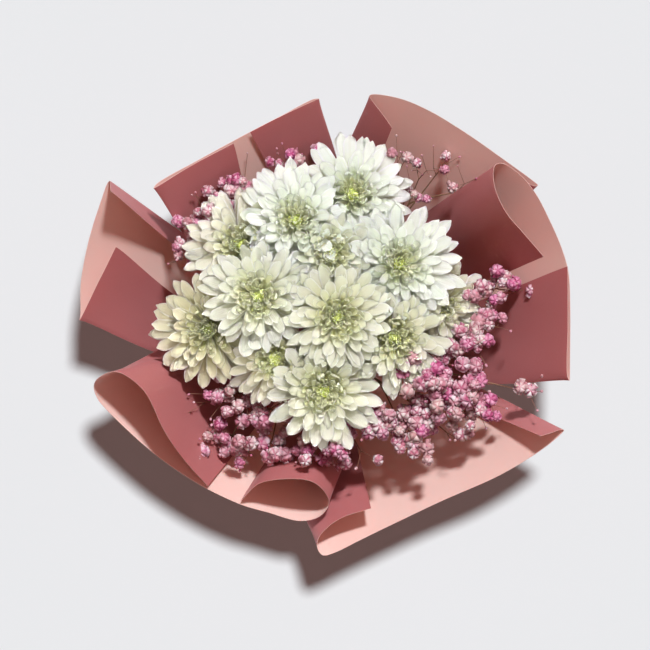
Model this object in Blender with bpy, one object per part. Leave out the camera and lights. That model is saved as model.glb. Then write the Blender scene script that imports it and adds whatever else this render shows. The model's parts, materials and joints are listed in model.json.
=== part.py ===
"""A hand-tied, paper-wrapped bunch of chrysanthemums with gypsophila, standing on its spiralled stems.

The stems cross at one tie and splay below it, so the bunch stands on their flat cut ends.
Six two-tone paper sheets, three inner and three outer, form a bowl around the flower heads.
The frame is metres, +Z up, with the origin on the surface under the middle of the bounding box.
All lengths below are millimetres and all angles degrees, until add_object scales them to metres.
"""

import math

import bmesh
import bpy
import numpy as np
from mathutils import Vector

MM = 0.001
SMOOTH_ANGLE = 40.0
SEAT_GAP = 0.35

# Spiral of the stems: at height z a stem stands at q + TWIST * (z - TIE_HEIGHT) * (q turned by 90 degrees).
TIE_HEIGHT = 115.0
TWIST = 0.05
STEM_RADIUS = 2.2
SPRIG_RADIUS = 1.1
STEM_CLEARANCE = 0.45
PACK_STEPS = 400
PACK_SHRINK = 0.997
PACK_SWEEPS = 6
# A stem stands upright for a short collar at its cut end, and keeps to the spiral up to its bend.
CUT_COLLAR = 1.6
TIE_HALF = 15.0
HEAD_BEND = 88.0
BEND_STEPS = 6

# Dome of flower heads.
DOME_TOP = 340.0
DOME_DROP = 230.0
DOME_CENTRE = (-4.0, 14.0)
TILT_PER_MM = 0.27
CELL_MARGIN = 0.3

# Each head: x and y of its centre, reach of its longest petals, and how far it sits below the dome.
HEADS = (
    (20.0, 95.0, 43.0, 0.0),
    (-21.0, 76.0, 42.0, 0.0),
    (-61.0, 58.0, 41.0, 5.0),
    (4.0, 52.0, 36.0, 10.0),
    (54.0, 44.0, 44.0, 0.0),
    (-48.0, 21.0, 43.0, 0.0),
    (9.0, 6.0, 42.0, 2.0),
    (-84.0, -3.0, 42.0, 5.0),
    (50.0, -9.0, 41.0, 2.0),
    (-36.0, -25.0, 35.0, 12.0),
    (-1.0, -47.0, 43.0, 0.0),
    (82.0, 14.0, 35.0, 8.0),
)

# Section of a head, as (radius, height) around the head's centre, from the socket floor outwards and under.
REACH = 43.0
HEAD_PETALS = 10
HEAD_SECTION = (
    (0.0, 8.0),
    (9.2, 8.0),
    (9.6, 15.0),
    (15.0, 22.0),
    (17.5, 13.0),
    (30.0, 14.0),
    (29.0, 6.0),
    (REACH, 3.0),
    (24.0, -5.0),
    (5.4, -11.0),
    (0.0, -11.0),
)
TIER_RINGS = (3, 5, 7)
NOTCH = 0.85
HEART_SECTION = ((0.0, 17.6), (5.0, 16.6), (8.1, 13.0), (8.7, 8.4), (0.0, 8.4))
HEART_SIDES = 12
CALYX_TOP = -11.4
# The calyx under a head, as (distance below its top, radius).
CALYX_SECTION = ((0.0, 5.2), (2.0, 6.0), (5.0, 4.6), (8.0, 2.9), (12.0, STEM_RADIUS))

# Gypsophila sprigs: name, then the tips that carry florets, as (x, y, z). The first tip ends the main stem.
SPRIGS = (
    ("lower_left", ((-78, -70, 292), (-86, -60, 297), (-70, -84, 290), (-62, -62, 292))),
    ("bottom_left", ((-50, -90, 290), (-57, -98, 286), (-32, -96, 294), (-38, -84, 297))),
    ("bottom", ((4, -96, 304), (-11, -92, 305), (20, -96, 303), (26, -107, 296))),
    ("bottom_right", ((52, -86, 294), (38, -92, 298), (44, -104, 290), (68, -78, 294))),
    ("right_low", ((98, -60, 296), (84, -66, 298), (112, -74, 298), (104, -42, 298), (120, -52, 298))),
    ("right", ((122, -12, 302), (112, -28, 300), (131, -3, 303), (126, 16, 303), (131, 30, 304))),
    ("top_right", ((84, 112, 304), (70, 122, 302), (98, 110, 304), (72, 104, 302), (60, 130, 300))),
    ("top_left", ((-50, 116, 296), (-34, 124, 298), (-62, 108, 296), (-22, 130, 298))),
    ("left", ((-102, 66, 294), (-110, 54, 293), (-94, 80, 294), (-84, 92, 294))),
)
SPRIG_FOOT = 16.0
SPRIG_BEND = 180.0
SPRIG_FORK = (212.0, 236.0)
BRANCH_RADIUS = 0.8
BRANCH_STEPS = 4
BRANCH_START = 0.6
FLORET_RADIUS = 4.2
# A floret's section, as (distance along it, radius), in floret radii from its middle.
FLORET_SECTION = ((-0.85, 0.55), (-0.2, 1.0), (0.5, 0.85), (0.95, 0.3))
# The way a main stem and a side branch end, as (outwards, upwards).
SPRIG_END = (0.6, 0.8)
BRANCH_END = (0.5, 0.85)

# Wrapping paper. A sheet lies on a bowl that rises from the tie, with its inner or outer layer's offset.
PAPER_THICKNESS = 0.5
WRAP_BOTTOM = 101.0
WRAP_TOP = 129.0
WRAP_RADIUS = 20.2
BOWL_RISE = 1.6
BOWL_POWER = 0.94
RIM_LEVEL_RADIUS = 170.0
RIM_LEVELLING = 0.6
SKIRT_BOTTOM = 54.0
SKIRT_FLARE = 0.6
SKIRT_OPENING = 0.6
LAYER_AT_TIE = 3.0
LAYER_IN_BOWL = 10.0
LAYER_RAMP = 50.0
FLAP_AT_TIE = 1.4
TURN_POWER = 1.3
BOWL_ROWS = (0.0, 0.15, 0.35, 0.6, 0.85, 1.0)

# Each sheet: layer, tie angles of its two folds, how far each flap is tucked back there, how fast each
# flap settles towards the tie, and the rim as (x, y, lift) from one flap's free corner to the other's.
SHEETS = {
    "paper_top_left": dict(
        inner=True,
        folds=(178.0, 62.0),
        tucks=(36.0, 36.0),
        settle=(1.0, 1.0),
        start_flap=((-64.8, 128.6, 6.0), (-93.6, 113.4, 4.5), (-119.0, 99.8, 2.4)),
        panel=(
            (-122.8, 100.4, 0.9),
            (-120.6, 102.6, 0.0),
            (-93.0, 117.6, 0.0),
            (-64.0, 133.4, 0.0),
            (-35.0, 148.6, 0.0),
            (-8.0, 162.4, 0.0),
            (-4.4, 162.6, 0.9),
        ),
        end_flap=((-6.4, 159.8, 2.4), (-28.8, 148.6, 4.5), (-52.6, 136.4, 6.0)),
    ),
    "paper_top_right": dict(
        inner=False,
        folds=(102.0, 2.0),
        tucks=(24.0, 30.0),
        settle=(1.5, 1.5),
        start_flap=((48.2, 141.8, 7.0), (41.8, 151.0, 5.5), (34.8, 160.2, 2.6)),
        panel=(
            (32.0, 165.0, 1.0),
            (34.8, 166.0, 0.0),
            (54.0, 162.7, 0.0),
            (74.0, 154.6, 0.0),
            (98.0, 140.4, 0.0),
            (126.0, 121.0, 0.0),
            (150.0, 103.2, 0.0),
            (153.0, 100.4, 0.9),
        ),
        end_flap=((149.6, 100.0, 2.2), (138.0, 108.0, 2.8), (127.0, 115.6, 2.8)),
    ),
    "paper_right": dict(
        inner=True,
        folds=(60.0, -44.0),
        tucks=(54.0, 42.0),
        settle=(1.6, 1.0),
        start_flap=(
            (157.0, 49.0, 12.0),
            (141.8, 66.2, 22.0),
            (129.6, 80.6, 27.0),
            (122.6, 96.0, 22.0),
            (120.8, 109.0, 11.0),
        ),
        panel=(
            (122.8, 115.4, 4.0),
            (128.4, 116.0, 0.0),
            (141.0, 107.2, 0.0),
            (151.6, 93.8, 0.0),
            (161.4, 75.0, 0.0),
            (169.6, 56.0, 0.0),
            (174.8, 38.0, 0.0),
            (176.2, 12.0, 0.0),
            (176.2, -13.0, 0.0),
            (176.0, -36.6, 0.0),
            (175.8, -39.8, 0.9),
        ),
        end_flap=((174.2, -37.0, 2.4), (174.4, 0.0, 4.5), (174.0, 42.0, 6.0)),
    ),
    "paper_bottom_right": dict(
        inner=False,
        folds=(342.0, 224.0),
        tucks=(16.0, 62.0),
        settle=(2.5, 3.0),
        start_flap=((154.5, -79.7, 14.0), (163.0, -77.3, 8.0), (169.4, -75.2, 3.0)),
        panel=(
            (171.8, -75.6, 1.2),
            (170.0, -78.0, 0.0),
            (158.0, -88.0, 0.0),
            (126.0, -108.0, 0.0),
            (90.0, -124.0, 0.0),
            (54.0, -141.0, 0.0),
            (25.0, -155.0, 0.0),
            (7.0, -164.0, 0.0),
            (-1.5, -166.0, 0.8),
            (-5.4, -161.0, 3.0),
        ),
        end_flap=((-4.7, -153.4, 5.5), (3.6, -144.0, 7.5), (14.4, -137.5, 8.0), (33.1, -131.8, 8.0)),
    ),
    "paper_bottom_left": dict(
        inner=True,
        folds=(312.0, 180.0),
        tucks=(56.0, 60.0),
        settle=(1.5, 1.5),
        start_flap=(
            (-60.5, -126.6, 3.0),
            (-47.5, -113.8, 17.0),
            (-29.5, -110.2, 25.0),
            (-10.8, -111.6, 25.0),
            (0.0, -120.2, 16.0),
        ),
        panel=(
            (2.6, -129.4, 7.0),
            (-4.0, -137.8, 1.2),
            (-17.3, -141.1, 0.0),
            (-41.8, -134.6, 0.0),
            (-60.5, -129.2, 0.0),
            (-84.2, -118.2, 0.0),
            (-108.0, -103.6, 0.0),
            (-130.0, -86.6, 0.0),
            (-154.0, -64.0, 0.0),
            (-163.6, -52.6, 1.6),
            (-166.0, -44.0, 6.0),
        ),
        end_flap=(
            (-161.0, -36.8, 13.0),
            (-147.6, -33.8, 23.0),
            (-129.6, -46.8, 29.0),
            (-115.2, -75.6, 24.0),
            (-100.8, -97.2, 13.0),
            (-84.2, -115.8, 3.4),
        ),
    ),
    "paper_left": dict(
        inner=False,
        folds=(222.0, 118.0),
        tucks=(27.0, 12.0),
        settle=(1.5, 6.0),
        start_flap=((-150.5, 56.2, 7.0), (-163.0, 30.6, 5.0), (-173.6, 8.6, 2.6)),
        panel=(
            (-176.4, 3.6, 1.0),
            (-175.8, 6.8, 0.0),
            (-175.6, 28.0, 0.0),
            (-172.4, 50.0, 0.0),
            (-167.0, 71.0, 0.0),
            (-160.4, 91.0, 0.0),
            (-156.6, 101.4, 0.0),
            (-154.8, 103.6, 1.4),
        ),
        end_flap=((-154.0, 101.4, 8.0), (-153.6, 98.4, 18.0), (-153.2, 95.6, 28.0)),
    ),
}

# Twine around the stems, and the ribbon with its bow outside the paper.
TWINE_RADIUS = 0.75
TWINE_TURNS = 2.0
TWINE_PITCH = 2.2
TWINE_STEPS = 12
RIBBON_THICKNESS = 0.7
RIBBON_WIDTH = 24.0
RIBBON_SIDES = 36
KNOT_SIZE = (15.0, 8.0, 17.0)
KNOT_BEVEL = 2.6
# The right loop of the bow from above, as (x, y, width), and its right tail, as (x, y, z, width), both from
# the knot's middle. The left ones mirror them.
BOW_LOOP = (
    (3.0, 2.0, 11.0),
    (14.0, 0.6, 15.0),
    (28.0, 1.2, 20.0),
    (38.0, -2.0, 22.0),
    (41.0, -8.0, 22.0),
    (36.0, -13.0, 22.0),
    (24.0, -12.0, 20.0),
    (12.0, -8.0, 15.0),
    (3.0, -2.4, 11.0),
)
LOOP_DROOP = 0.07
BOW_TAIL = (
    (3.0, -1.0, -4.0, 9.0),
    (7.0, -5.0, -13.0, 14.0),
    (12.0, -12.0, -26.0, 19.0),
    (17.0, -19.0, -42.0, 21.0),
    (20.0, -24.0, -58.0, 21.0),
    (24.0, -27.0, -74.0, 21.0),
)
TAIL_LEAN = 0.15

# Leaves: number of the head whose stem carries it, height of the joint, and the way it points.
LEAVES = ((8, 238.0, 188.0), (1, 246.0, 84.0), (5, 244.0, 38.0), (3, 240.0, 130.0), (12, 240.0, 8.0))
LEAF_THICKNESS = 0.9
LEAF_RISE = 32.0
LEAF_DROOP = 14.0
LEAF_CUP = 0.25
LEAF_START = 3.35
# A leaf's half, as (distance along it, half width): a stalk, two pairs of lobes and a blunt tip.
LEAF_LENGTH = 44.0
LEAF_OUTLINE = ((0.0, 1.0), (0.2, 1.2), (0.36, 10.0), (0.48, 6.0), (0.66, 13.0), (0.82, 7.5), (1.0, 1.2))


def clear_scene():
    for item in list(bpy.data.objects):
        bpy.data.objects.remove(item)


def make_material(name, colour, roughness):
    material = bpy.data.materials.new(name)
    material.use_nodes = True
    shader = material.node_tree.nodes["Principled BSDF"]
    shader.inputs["Base Color"].default_value = (*colour, 1.0)
    shader.inputs["Roughness"].default_value = roughness
    shader.inputs["Metallic"].default_value = 0.0
    return material


def add_object(name, bm, material, thickness=0.0):
    """Turns a bmesh in millimetres into an object in metres, solidified about its surface if it is a sheet."""
    bmesh.ops.scale(bm, vec=(MM, MM, MM), verts=bm.verts)
    bmesh.ops.recalc_face_normals(bm, faces=bm.faces)
    mesh = bpy.data.meshes.new(name)
    bm.to_mesh(mesh)
    bm.free()
    mesh.materials.append(material)
    mesh.shade_smooth()
    mesh.set_sharp_from_angle(angle=math.radians(SMOOTH_ANGLE))
    item = bpy.data.objects.new(name, mesh)
    bpy.context.scene.collection.objects.link(item)
    if thickness:
        solidify = item.modifiers.new("Thickness", "SOLIDIFY")
        solidify.thickness = thickness * MM
        solidify.offset = 0.0
        solidify.use_even_offset = False
    return item


def smoothstep(value):
    t = min(max(value, 0.0), 1.0)
    return t * t * (3.0 - 2.0 * t)


def hermite(start, start_slope, end, end_slope, steps):
    """Points of a cubic from start to end, both included."""
    points = []
    for step in range(steps + 1):
        t = step / steps
        t2 = t * t
        t3 = t2 * t
        points.append(
            (2 * t3 - 3 * t2 + 1) * start
            + (t3 - 2 * t2 + t) * start_slope
            + (3 * t2 - 2 * t3) * end
            + (t3 - t2) * end_slope
        )
    return points


def tube_mesh(points, radii, resolution):
    """A closed round tube along the points, from a curve with a bevel and filled caps."""
    curve = bpy.data.curves.new("tube", "CURVE")
    curve.dimensions = "3D"
    curve.bevel_depth = 1.0
    curve.bevel_resolution = resolution
    curve.use_fill_caps = True
    spline = curve.splines.new("POLY")
    spline.points.add(len(points) - 1)
    for point, place, radius in zip(spline.points, points, radii):
        point.co = (*place, 1.0)
        point.radius = radius
    holder = bpy.data.objects.new("tube", curve)
    bpy.context.scene.collection.objects.link(holder)
    bpy.context.view_layer.update()
    mesh = bpy.data.meshes.new_from_object(holder.evaluated_get(bpy.context.evaluated_depsgraph_get()))
    bpy.data.objects.remove(holder)
    bm = bmesh.new()
    bm.from_mesh(mesh)
    bpy.data.meshes.remove(mesh)
    bmesh.ops.remove_doubles(bm, verts=bm.verts, dist=1e-4)
    return bm


# ---- stems: the spiral and its packing in the tie

def spiral_place(foot, height):
    """Where the stem whose place in the tie is foot stands at this height."""
    turn = TWIST * (height - TIE_HEIGHT)
    return np.array((foot[0] - turn * foot[1], foot[1] + turn * foot[0], height))


def foot_under(x, y, height):
    """The place in the tie of a stem that passes through x, y at this height."""
    turn = TWIST * (height - TIE_HEIGHT)
    return np.array((x + turn * y, y - turn * x)) / (1.0 + turn * turn)


def pack_feet(feet, radii):
    """Draws the stems together at the tie until they touch, but for a small clearance."""
    feet = np.array(feet)
    for step in range(PACK_STEPS):
        feet *= PACK_SHRINK
        for sweep in range(PACK_SWEEPS):
            for i in range(len(feet)):
                for j in range(i):
                    away = feet[i] - feet[j]
                    distance = max(np.linalg.norm(away), 1e-6)
                    overlap = radii[i] + radii[j] + STEM_CLEARANCE - distance
                    if overlap > 0.0:
                        feet[i] += away / distance * overlap * 0.5
                        feet[j] -= away / distance * overlap * 0.5
    return feet


# ---- flower heads

def head_frames():
    """Each head's centre, axes (two across, one along) and reach."""
    frames = []
    for x, y, reach, sunk in HEADS:
        out = np.array((x - DOME_CENTRE[0], y - DOME_CENTRE[1]))
        distance = np.linalg.norm(out)
        height = DOME_TOP - distance * distance / DOME_DROP - sunk
        lean = math.radians(TILT_PER_MM * distance)
        side = out / max(distance, 1e-6)
        axis = np.array((side[0] * math.sin(lean), side[1] * math.sin(lean), math.cos(lean)))
        across = np.array((-side[1], side[0], 0.0))
        frames.append(dict(centre=np.array((x, y, height)), axis=axis, across=across,
                           forward=np.cross(axis, across), reach=reach))
    return frames


def cell_share(frames, index, offset):
    """How much of an offset from a head's centre stays on its own side of the planes between the heads."""
    own = frames[index]
    share = 1.0
    for other in frames:
        if other is own:
            continue
        between = other["centre"] - own["centre"]
        distance = np.linalg.norm(between)
        limit = (distance ** 2 + own["reach"] ** 2 - other["reach"] ** 2) / (2.0 * distance) - CELL_MARGIN
        along = offset @ between / distance
        if along > limit:
            share = min(share, limit / along)
    return share


def turned_solid(section, sides):
    """A sphere with one ring for each point of a section, and each vertex's ring number and angle."""
    bm = bmesh.new()
    bmesh.ops.create_uvsphere(bm, u_segments=sides, v_segments=len(section) - 1, radius=1.0)
    rings = []
    for vert in bm.verts:
        ring = round(math.acos(max(-1.0, min(1.0, vert.co.z))) / math.pi * (len(section) - 1))
        turn = math.atan2(vert.co.y, vert.co.x)
        rings.append((vert, ring, turn))
    return bm, rings


def place_vertex(vert, frame, radius, height, turn):
    offset = (
        frame["across"] * radius * math.cos(turn)
        + frame["forward"] * radius * math.sin(turn)
        + frame["axis"] * height
    )
    vert.co = Vector(frame["centre"] + offset)
    return offset


def add_head(frames, index, material):
    """Three tiers of petals around the socket that holds the heart, kept clear of the next heads."""
    frame = frames[index]
    scale = frame["reach"] / REACH
    bm, rings = turned_solid(HEAD_SECTION, 2 * HEAD_PETALS)
    for vert, ring, turn in rings:
        radius, height = HEAD_SECTION[ring]
        if ring in TIER_RINGS:
            step = round(turn / math.pi * HEAD_PETALS)
            if (step + TIER_RINGS.index(ring)) % 2:
                radius *= NOTCH
        if radius > HEAD_SECTION[2][0]:
            radius *= scale
        offset = place_vertex(vert, frame, radius, height, turn)
        vert.co = Vector(frame["centre"] + offset * cell_share(frames, index, offset))
    add_object(f"bloom_{index + 1:02d}_petals", bm, material)


def add_heart(frames, index, material):
    bm, rings = turned_solid(HEART_SECTION, HEART_SIDES)
    for vert, ring, turn in rings:
        radius, height = HEART_SECTION[ring]
        place_vertex(vert, frames[index], radius, height, turn)
    add_object(f"bloom_{index + 1:02d}_heart", bm, material)


def stem_path(frame, foot):
    """The stem's middle line, from its cut end on the surface to the top of the calyx."""
    end = frame["centre"] + CALYX_TOP * frame["axis"]
    bend = end[2] - HEAD_BEND
    points = [spiral_place(foot, CUT_COLLAR) * (1, 1, 0)]
    points += [spiral_place(foot, height) for height in (CUT_COLLAR, TIE_HEIGHT - TIE_HALF, TIE_HEIGHT + TIE_HALF)]
    start = spiral_place(foot, bend)
    slope = spiral_place(foot, bend + 1.0) - start
    calyx = [end - frame["axis"] * depth for depth, radius in reversed(CALYX_SECTION)]
    reach = calyx[0][2] - bend
    points += hermite(start, slope * reach, calyx[0], frame["axis"] * reach, BEND_STEPS)[:-1]
    return points + calyx


def add_stem(frame, index, foot, material):
    points = stem_path(frame, foot)
    radii = [STEM_RADIUS] * (len(points) - len(CALYX_SECTION))
    radii += [radius for depth, radius in reversed(CALYX_SECTION)]
    add_object(f"bloom_{index + 1:02d}_stem", tube_mesh(points, radii, 1), material)
    return points


# ---- gypsophila

def floret_ends(points):
    """A branch's points and radii, swelling to a floret at the tip."""
    tip = points[-1]
    along = points[-1] - points[-2]
    along /= np.linalg.norm(along)
    radii = [BRANCH_RADIUS] * len(points)
    points = points[:-1] + [tip - along * FLORET_RADIUS]
    points += [tip + along * FLORET_RADIUS * at for at, size in FLORET_SECTION]
    radii += [FLORET_RADIUS * size for at, size in FLORET_SECTION]
    return points, radii


def outward_slope(tip, shares):
    """The way a stem ends at this tip: shares are how far outwards and how far upwards."""
    out = np.array((tip[0], tip[1], 0.0)) / math.hypot(tip[0], tip[1])
    return out * shares[0] + np.array((0.0, 0.0, shares[1]))


def sprig_path(foot, tip):
    points = [spiral_place(foot, height) for height in (SPRIG_FOOT, TIE_HEIGHT - TIE_HALF, TIE_HEIGHT + TIE_HALF)]
    start = spiral_place(foot, SPRIG_BEND)
    reach = tip[2] - SPRIG_BEND
    slope = (spiral_place(foot, SPRIG_BEND + 1.0) - start) * reach
    return points + hermite(start, slope, tip, outward_slope(tip, SPRIG_END) * reach, BEND_STEPS)


def point_at_height(points, height):
    for low, high in zip(points, points[1:]):
        if low[2] <= height <= high[2]:
            share = (height - low[2]) / (high[2] - low[2])
            return low + (high - low) * share, (high - low) / np.linalg.norm(high - low)
    raise ValueError("no such height on this stem")


def add_sprig(name, tips, foot, material):
    """A main stem that ends in a floret, with side branches united to it."""
    tips = [np.array(tip, float) for tip in tips]
    main = sprig_path(foot, tips[0])
    points, radii = floret_ends(main)
    radii = [SPRIG_RADIUS if point[2] < SPRIG_FORK[1] else radius for point, radius in zip(points, radii)]
    trunk = add_object(f"gypsophila_{name}", tube_mesh(points, radii, 1), material)
    branches = bmesh.new()
    for number, tip in enumerate(tips[1:]):
        share = number / max(len(tips) - 2, 1)
        height = SPRIG_FORK[0] + (SPRIG_FORK[1] - SPRIG_FORK[0]) * share
        start, along = point_at_height(main, height)
        length = np.linalg.norm(tip - start)
        end_slope = outward_slope(tip, BRANCH_END) * length
        path = hermite(start, along * length * BRANCH_START, tip, end_slope, BRANCH_STEPS)
        side = tube_mesh(*floret_ends(path), 0)
        mesh = bpy.data.meshes.new("branch")
        side.to_mesh(mesh)
        side.free()
        branches.from_mesh(mesh)
        bpy.data.meshes.remove(mesh)
    unite(trunk, branches, material)


def unite(item, bm, material):
    """Joins closed shapes in millimetres to an object by a Boolean union."""
    cutter = add_object(item.name + "_added", bm, material)
    cutter.hide_render = True
    cutter.display_type = "WIRE"
    union = item.modifiers.new("Union", "BOOLEAN")
    union.operation = "UNION"
    union.object = cutter
    union.use_self = True


# ---- wrapping paper

def bowl_height(radius):
    return WRAP_TOP + BOWL_RISE * max(radius - WRAP_RADIUS, 0.0) ** BOWL_POWER


def bowl_slope(radius):
    return BOWL_RISE * BOWL_POWER * max(radius - WRAP_RADIUS, 1.0) ** (BOWL_POWER - 1.0)


def layer_offset(inner, radius):
    if not inner:
        return 0.0
    share = smoothstep((radius - WRAP_RADIUS) / LAYER_RAMP)
    return LAYER_AT_TIE + (LAYER_IN_BOWL - LAYER_AT_TIE) * share


def rim_columns(sheet):
    """Each rim point as (angle, radius on the bowl, lift, angle at the tie, lift at the tie, settle)."""
    flap_a, panel, flap_b = sheet["start_flap"], sheet["panel"], sheet["end_flap"]
    first, last = sheet["folds"]
    columns = []
    for part, points in enumerate((flap_a, panel, flap_b)):
        for number, (x, y, lift) in enumerate(points):
            if part == 0:
                tie_angle = first - sheet["tucks"][0] * (len(points) - number) / len(points)
                settle = sheet["settle"][0]
            elif part == 1:
                tie_angle = first + (last - first) * number / (len(points) - 1)
                settle = sheet["settle"][0 if number < len(points) / 2 else 1]
            else:
                tie_angle = last + sheet["tucks"][1] * (number + 1) / len(points)
                settle = sheet["settle"][1]
            tie_lift = 0.0 if part == 1 else FLAP_AT_TIE
            if part == 1 and number in (0, len(points) - 1):
                tie_lift = FLAP_AT_TIE / 2.0
            radius = math.hypot(x, y)
            offset = lift + layer_offset(sheet["inner"], radius)
            slope = bowl_slope(radius)
            base = radius + offset * slope / math.hypot(1.0, slope)
            angle = math.degrees(math.atan2(y, x))
            while angle < tie_angle - 180.0:
                angle += 360.0
            while angle > tie_angle + 180.0:
                angle -= 360.0
            columns.append((angle, base, lift, tie_angle, tie_lift, settle))
    return columns


def paper_place(sheet, column, row):
    """A point of the sheet. Rows 0 to 1 run down the bowl, 1 to 2 along the tie and 2 to 3 down the skirt."""
    angle, base, lift, tie_angle, tie_lift, settle = column
    if row < 1.0:
        radius = WRAP_RADIUS + (base - WRAP_RADIUS) * (1.0 - row)
        turn = math.radians(angle + (tie_angle - angle) * row ** TURN_POWER)
        offset = lift * (1.0 - row) ** settle + tie_lift * row + layer_offset(sheet["inner"], radius)
        slope = bowl_slope(radius)
        length = math.hypot(1.0, slope)
        level = (RIM_LEVEL_RADIUS - base) * RIM_LEVELLING * (1.0 - row)
        height = bowl_height(radius) + level + offset / length
        radius -= offset * slope / length
    else:
        turn = math.radians(tie_angle)
        skirt = max(row - 2.0, 0.0)
        offset = (tie_lift + layer_offset(sheet["inner"], WRAP_RADIUS)) * (1.0 + SKIRT_OPENING * skirt)
        height = WRAP_TOP + (WRAP_BOTTOM - WRAP_TOP) * min(row - 1.0, 1.0)
        height += (SKIRT_BOTTOM - WRAP_BOTTOM) * skirt
        radius = WRAP_RADIUS + (WRAP_BOTTOM - SKIRT_BOTTOM) * skirt * SKIRT_FLARE - offset
    return Vector((radius * math.cos(turn), radius * math.sin(turn), height))


def add_sheet(name, sheet, material):
    columns = rim_columns(sheet)
    rows = BOWL_ROWS + (2.0, 3.0)
    bm = bmesh.new()
    bmesh.ops.create_grid(bm, x_segments=len(columns) - 1, y_segments=len(rows) - 1, size=1.0)
    for vert in bm.verts:
        column = columns[round((vert.co.x + 1.0) / 2.0 * (len(columns) - 1))]
        row = rows[round((vert.co.y + 1.0) / 2.0 * (len(rows) - 1))]
        vert.co = paper_place(sheet, column, row)
    add_object(name, bm, material, PAPER_THICKNESS)


# ---- twine, ribbon and leaves

def add_twine(bundle_radius, material):
    radius = bundle_radius / math.cos(math.pi / TWINE_STEPS) + TWINE_RADIUS + SEAT_GAP
    steps = round(TWINE_TURNS * TWINE_STEPS)
    points = []
    for step in range(steps + 1):
        turn = 2.0 * math.pi * step / TWINE_STEPS
        height = TIE_HEIGHT + TWINE_PITCH * (step / TWINE_STEPS - TWINE_TURNS / 2.0)
        points.append(np.array((radius * math.cos(turn), radius * math.sin(turn), height)))
    add_object("binding_twine", tube_mesh(points, [TWINE_RADIUS] * len(points), 1), material)


def add_ribbon_band(material):
    inner = WRAP_RADIUS + PAPER_THICKNESS / 2.0 + SEAT_GAP
    bm = bmesh.new()
    bmesh.ops.create_cone(bm, segments=RIBBON_SIDES, radius1=inner, radius2=inner, depth=RIBBON_WIDTH)
    bmesh.ops.translate(bm, vec=(0.0, 0.0, TIE_HEIGHT), verts=bm.verts)
    item = add_object("ribbon_band", bm, material)
    solidify = item.modifiers.new("Thickness", "SOLIDIFY")
    solidify.thickness = RIBBON_THICKNESS * MM
    solidify.offset = 1.0
    return inner + RIBBON_THICKNESS


def ribbon_strip(points, widths, across):
    """A strip of ribbon through the points, as a closed solid. across gives the way its width lies."""
    bm = bmesh.new()
    bmesh.ops.create_grid(bm, x_segments=len(points) - 1, y_segments=1, size=1.0)
    for vert in bm.verts:
        number = round((vert.co.x + 1.0) / 2.0 * (len(points) - 1))
        side = math.copysign(0.5, vert.co.y)
        vert.co = Vector(points[number]) + Vector(across) * widths[number] * side
    bmesh.ops.recalc_face_normals(bm, faces=bm.faces)
    bmesh.ops.solidify(bm, geom=bm.faces[:], thickness=RIBBON_THICKNESS)
    return bm


def add_bow(band_radius, material):
    """Two loops and two tails that leave one knot, in front of the band."""
    middle = -band_radius - SEAT_GAP - KNOT_SIZE[1] / 2.0
    knot = bmesh.new()
    bmesh.ops.create_cube(knot, size=1.0)
    bmesh.ops.scale(knot, vec=KNOT_SIZE, verts=knot.verts)
    bmesh.ops.bevel(knot, geom=knot.edges[:], offset=KNOT_BEVEL, segments=2, profile=0.5, affect="EDGES",
                    material=-1)
    bmesh.ops.translate(knot, vec=(0.0, middle, TIE_HEIGHT), verts=knot.verts)
    item = add_object("ribbon_bow", knot, material)
    added = bmesh.new()
    for side in (-1.0, 1.0):
        loop = [(side * x, middle + y, TIE_HEIGHT - LOOP_DROOP * x) for x, y, width in BOW_LOOP]
        tail = [(side * x, middle + y, TIE_HEIGHT + z) for x, y, z, width in BOW_TAIL]
        for strip in (
            ribbon_strip(loop, [width for x, y, width in BOW_LOOP], (0.0, 0.0, 1.0)),
            ribbon_strip(tail, [width for x, y, z, width in BOW_TAIL], (1.0, 0.0, TAIL_LEAN * side)),
        ):
            mesh = bpy.data.meshes.new("strip")
            strip.to_mesh(mesh)
            strip.free()
            added.from_mesh(mesh)
            bpy.data.meshes.remove(mesh)
    unite(item, added, material)


def add_leaf(number, points, height, way, material):
    """A lobed leaf that leaves its stem outwards and droops towards its tip."""
    start, along = point_at_height(points, height)
    way = math.radians(way)
    out = np.array((math.cos(way), math.sin(way), 0.0))
    across = np.array((-math.sin(way), math.cos(way), 0.0))
    rise = math.radians(LEAF_RISE)
    bm = bmesh.new()
    bmesh.ops.create_grid(bm, x_segments=len(LEAF_OUTLINE) - 1, y_segments=2, size=1.0)
    for vert in bm.verts:
        share, half_width = LEAF_OUTLINE[round((vert.co.x + 1.0) / 2.0 * (len(LEAF_OUTLINE) - 1))]
        reach = LEAF_START + share * LEAF_LENGTH * math.cos(rise)
        climb = share * LEAF_LENGTH * math.sin(rise) - LEAF_DROOP * share * share
        climb += abs(vert.co.y) * half_width * LEAF_CUP
        vert.co = Vector(start + out * reach + across * half_width * vert.co.y + np.array((0.0, 0.0, climb)))
    add_object(f"leaf_{number}", bm, material, LEAF_THICKNESS)


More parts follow.
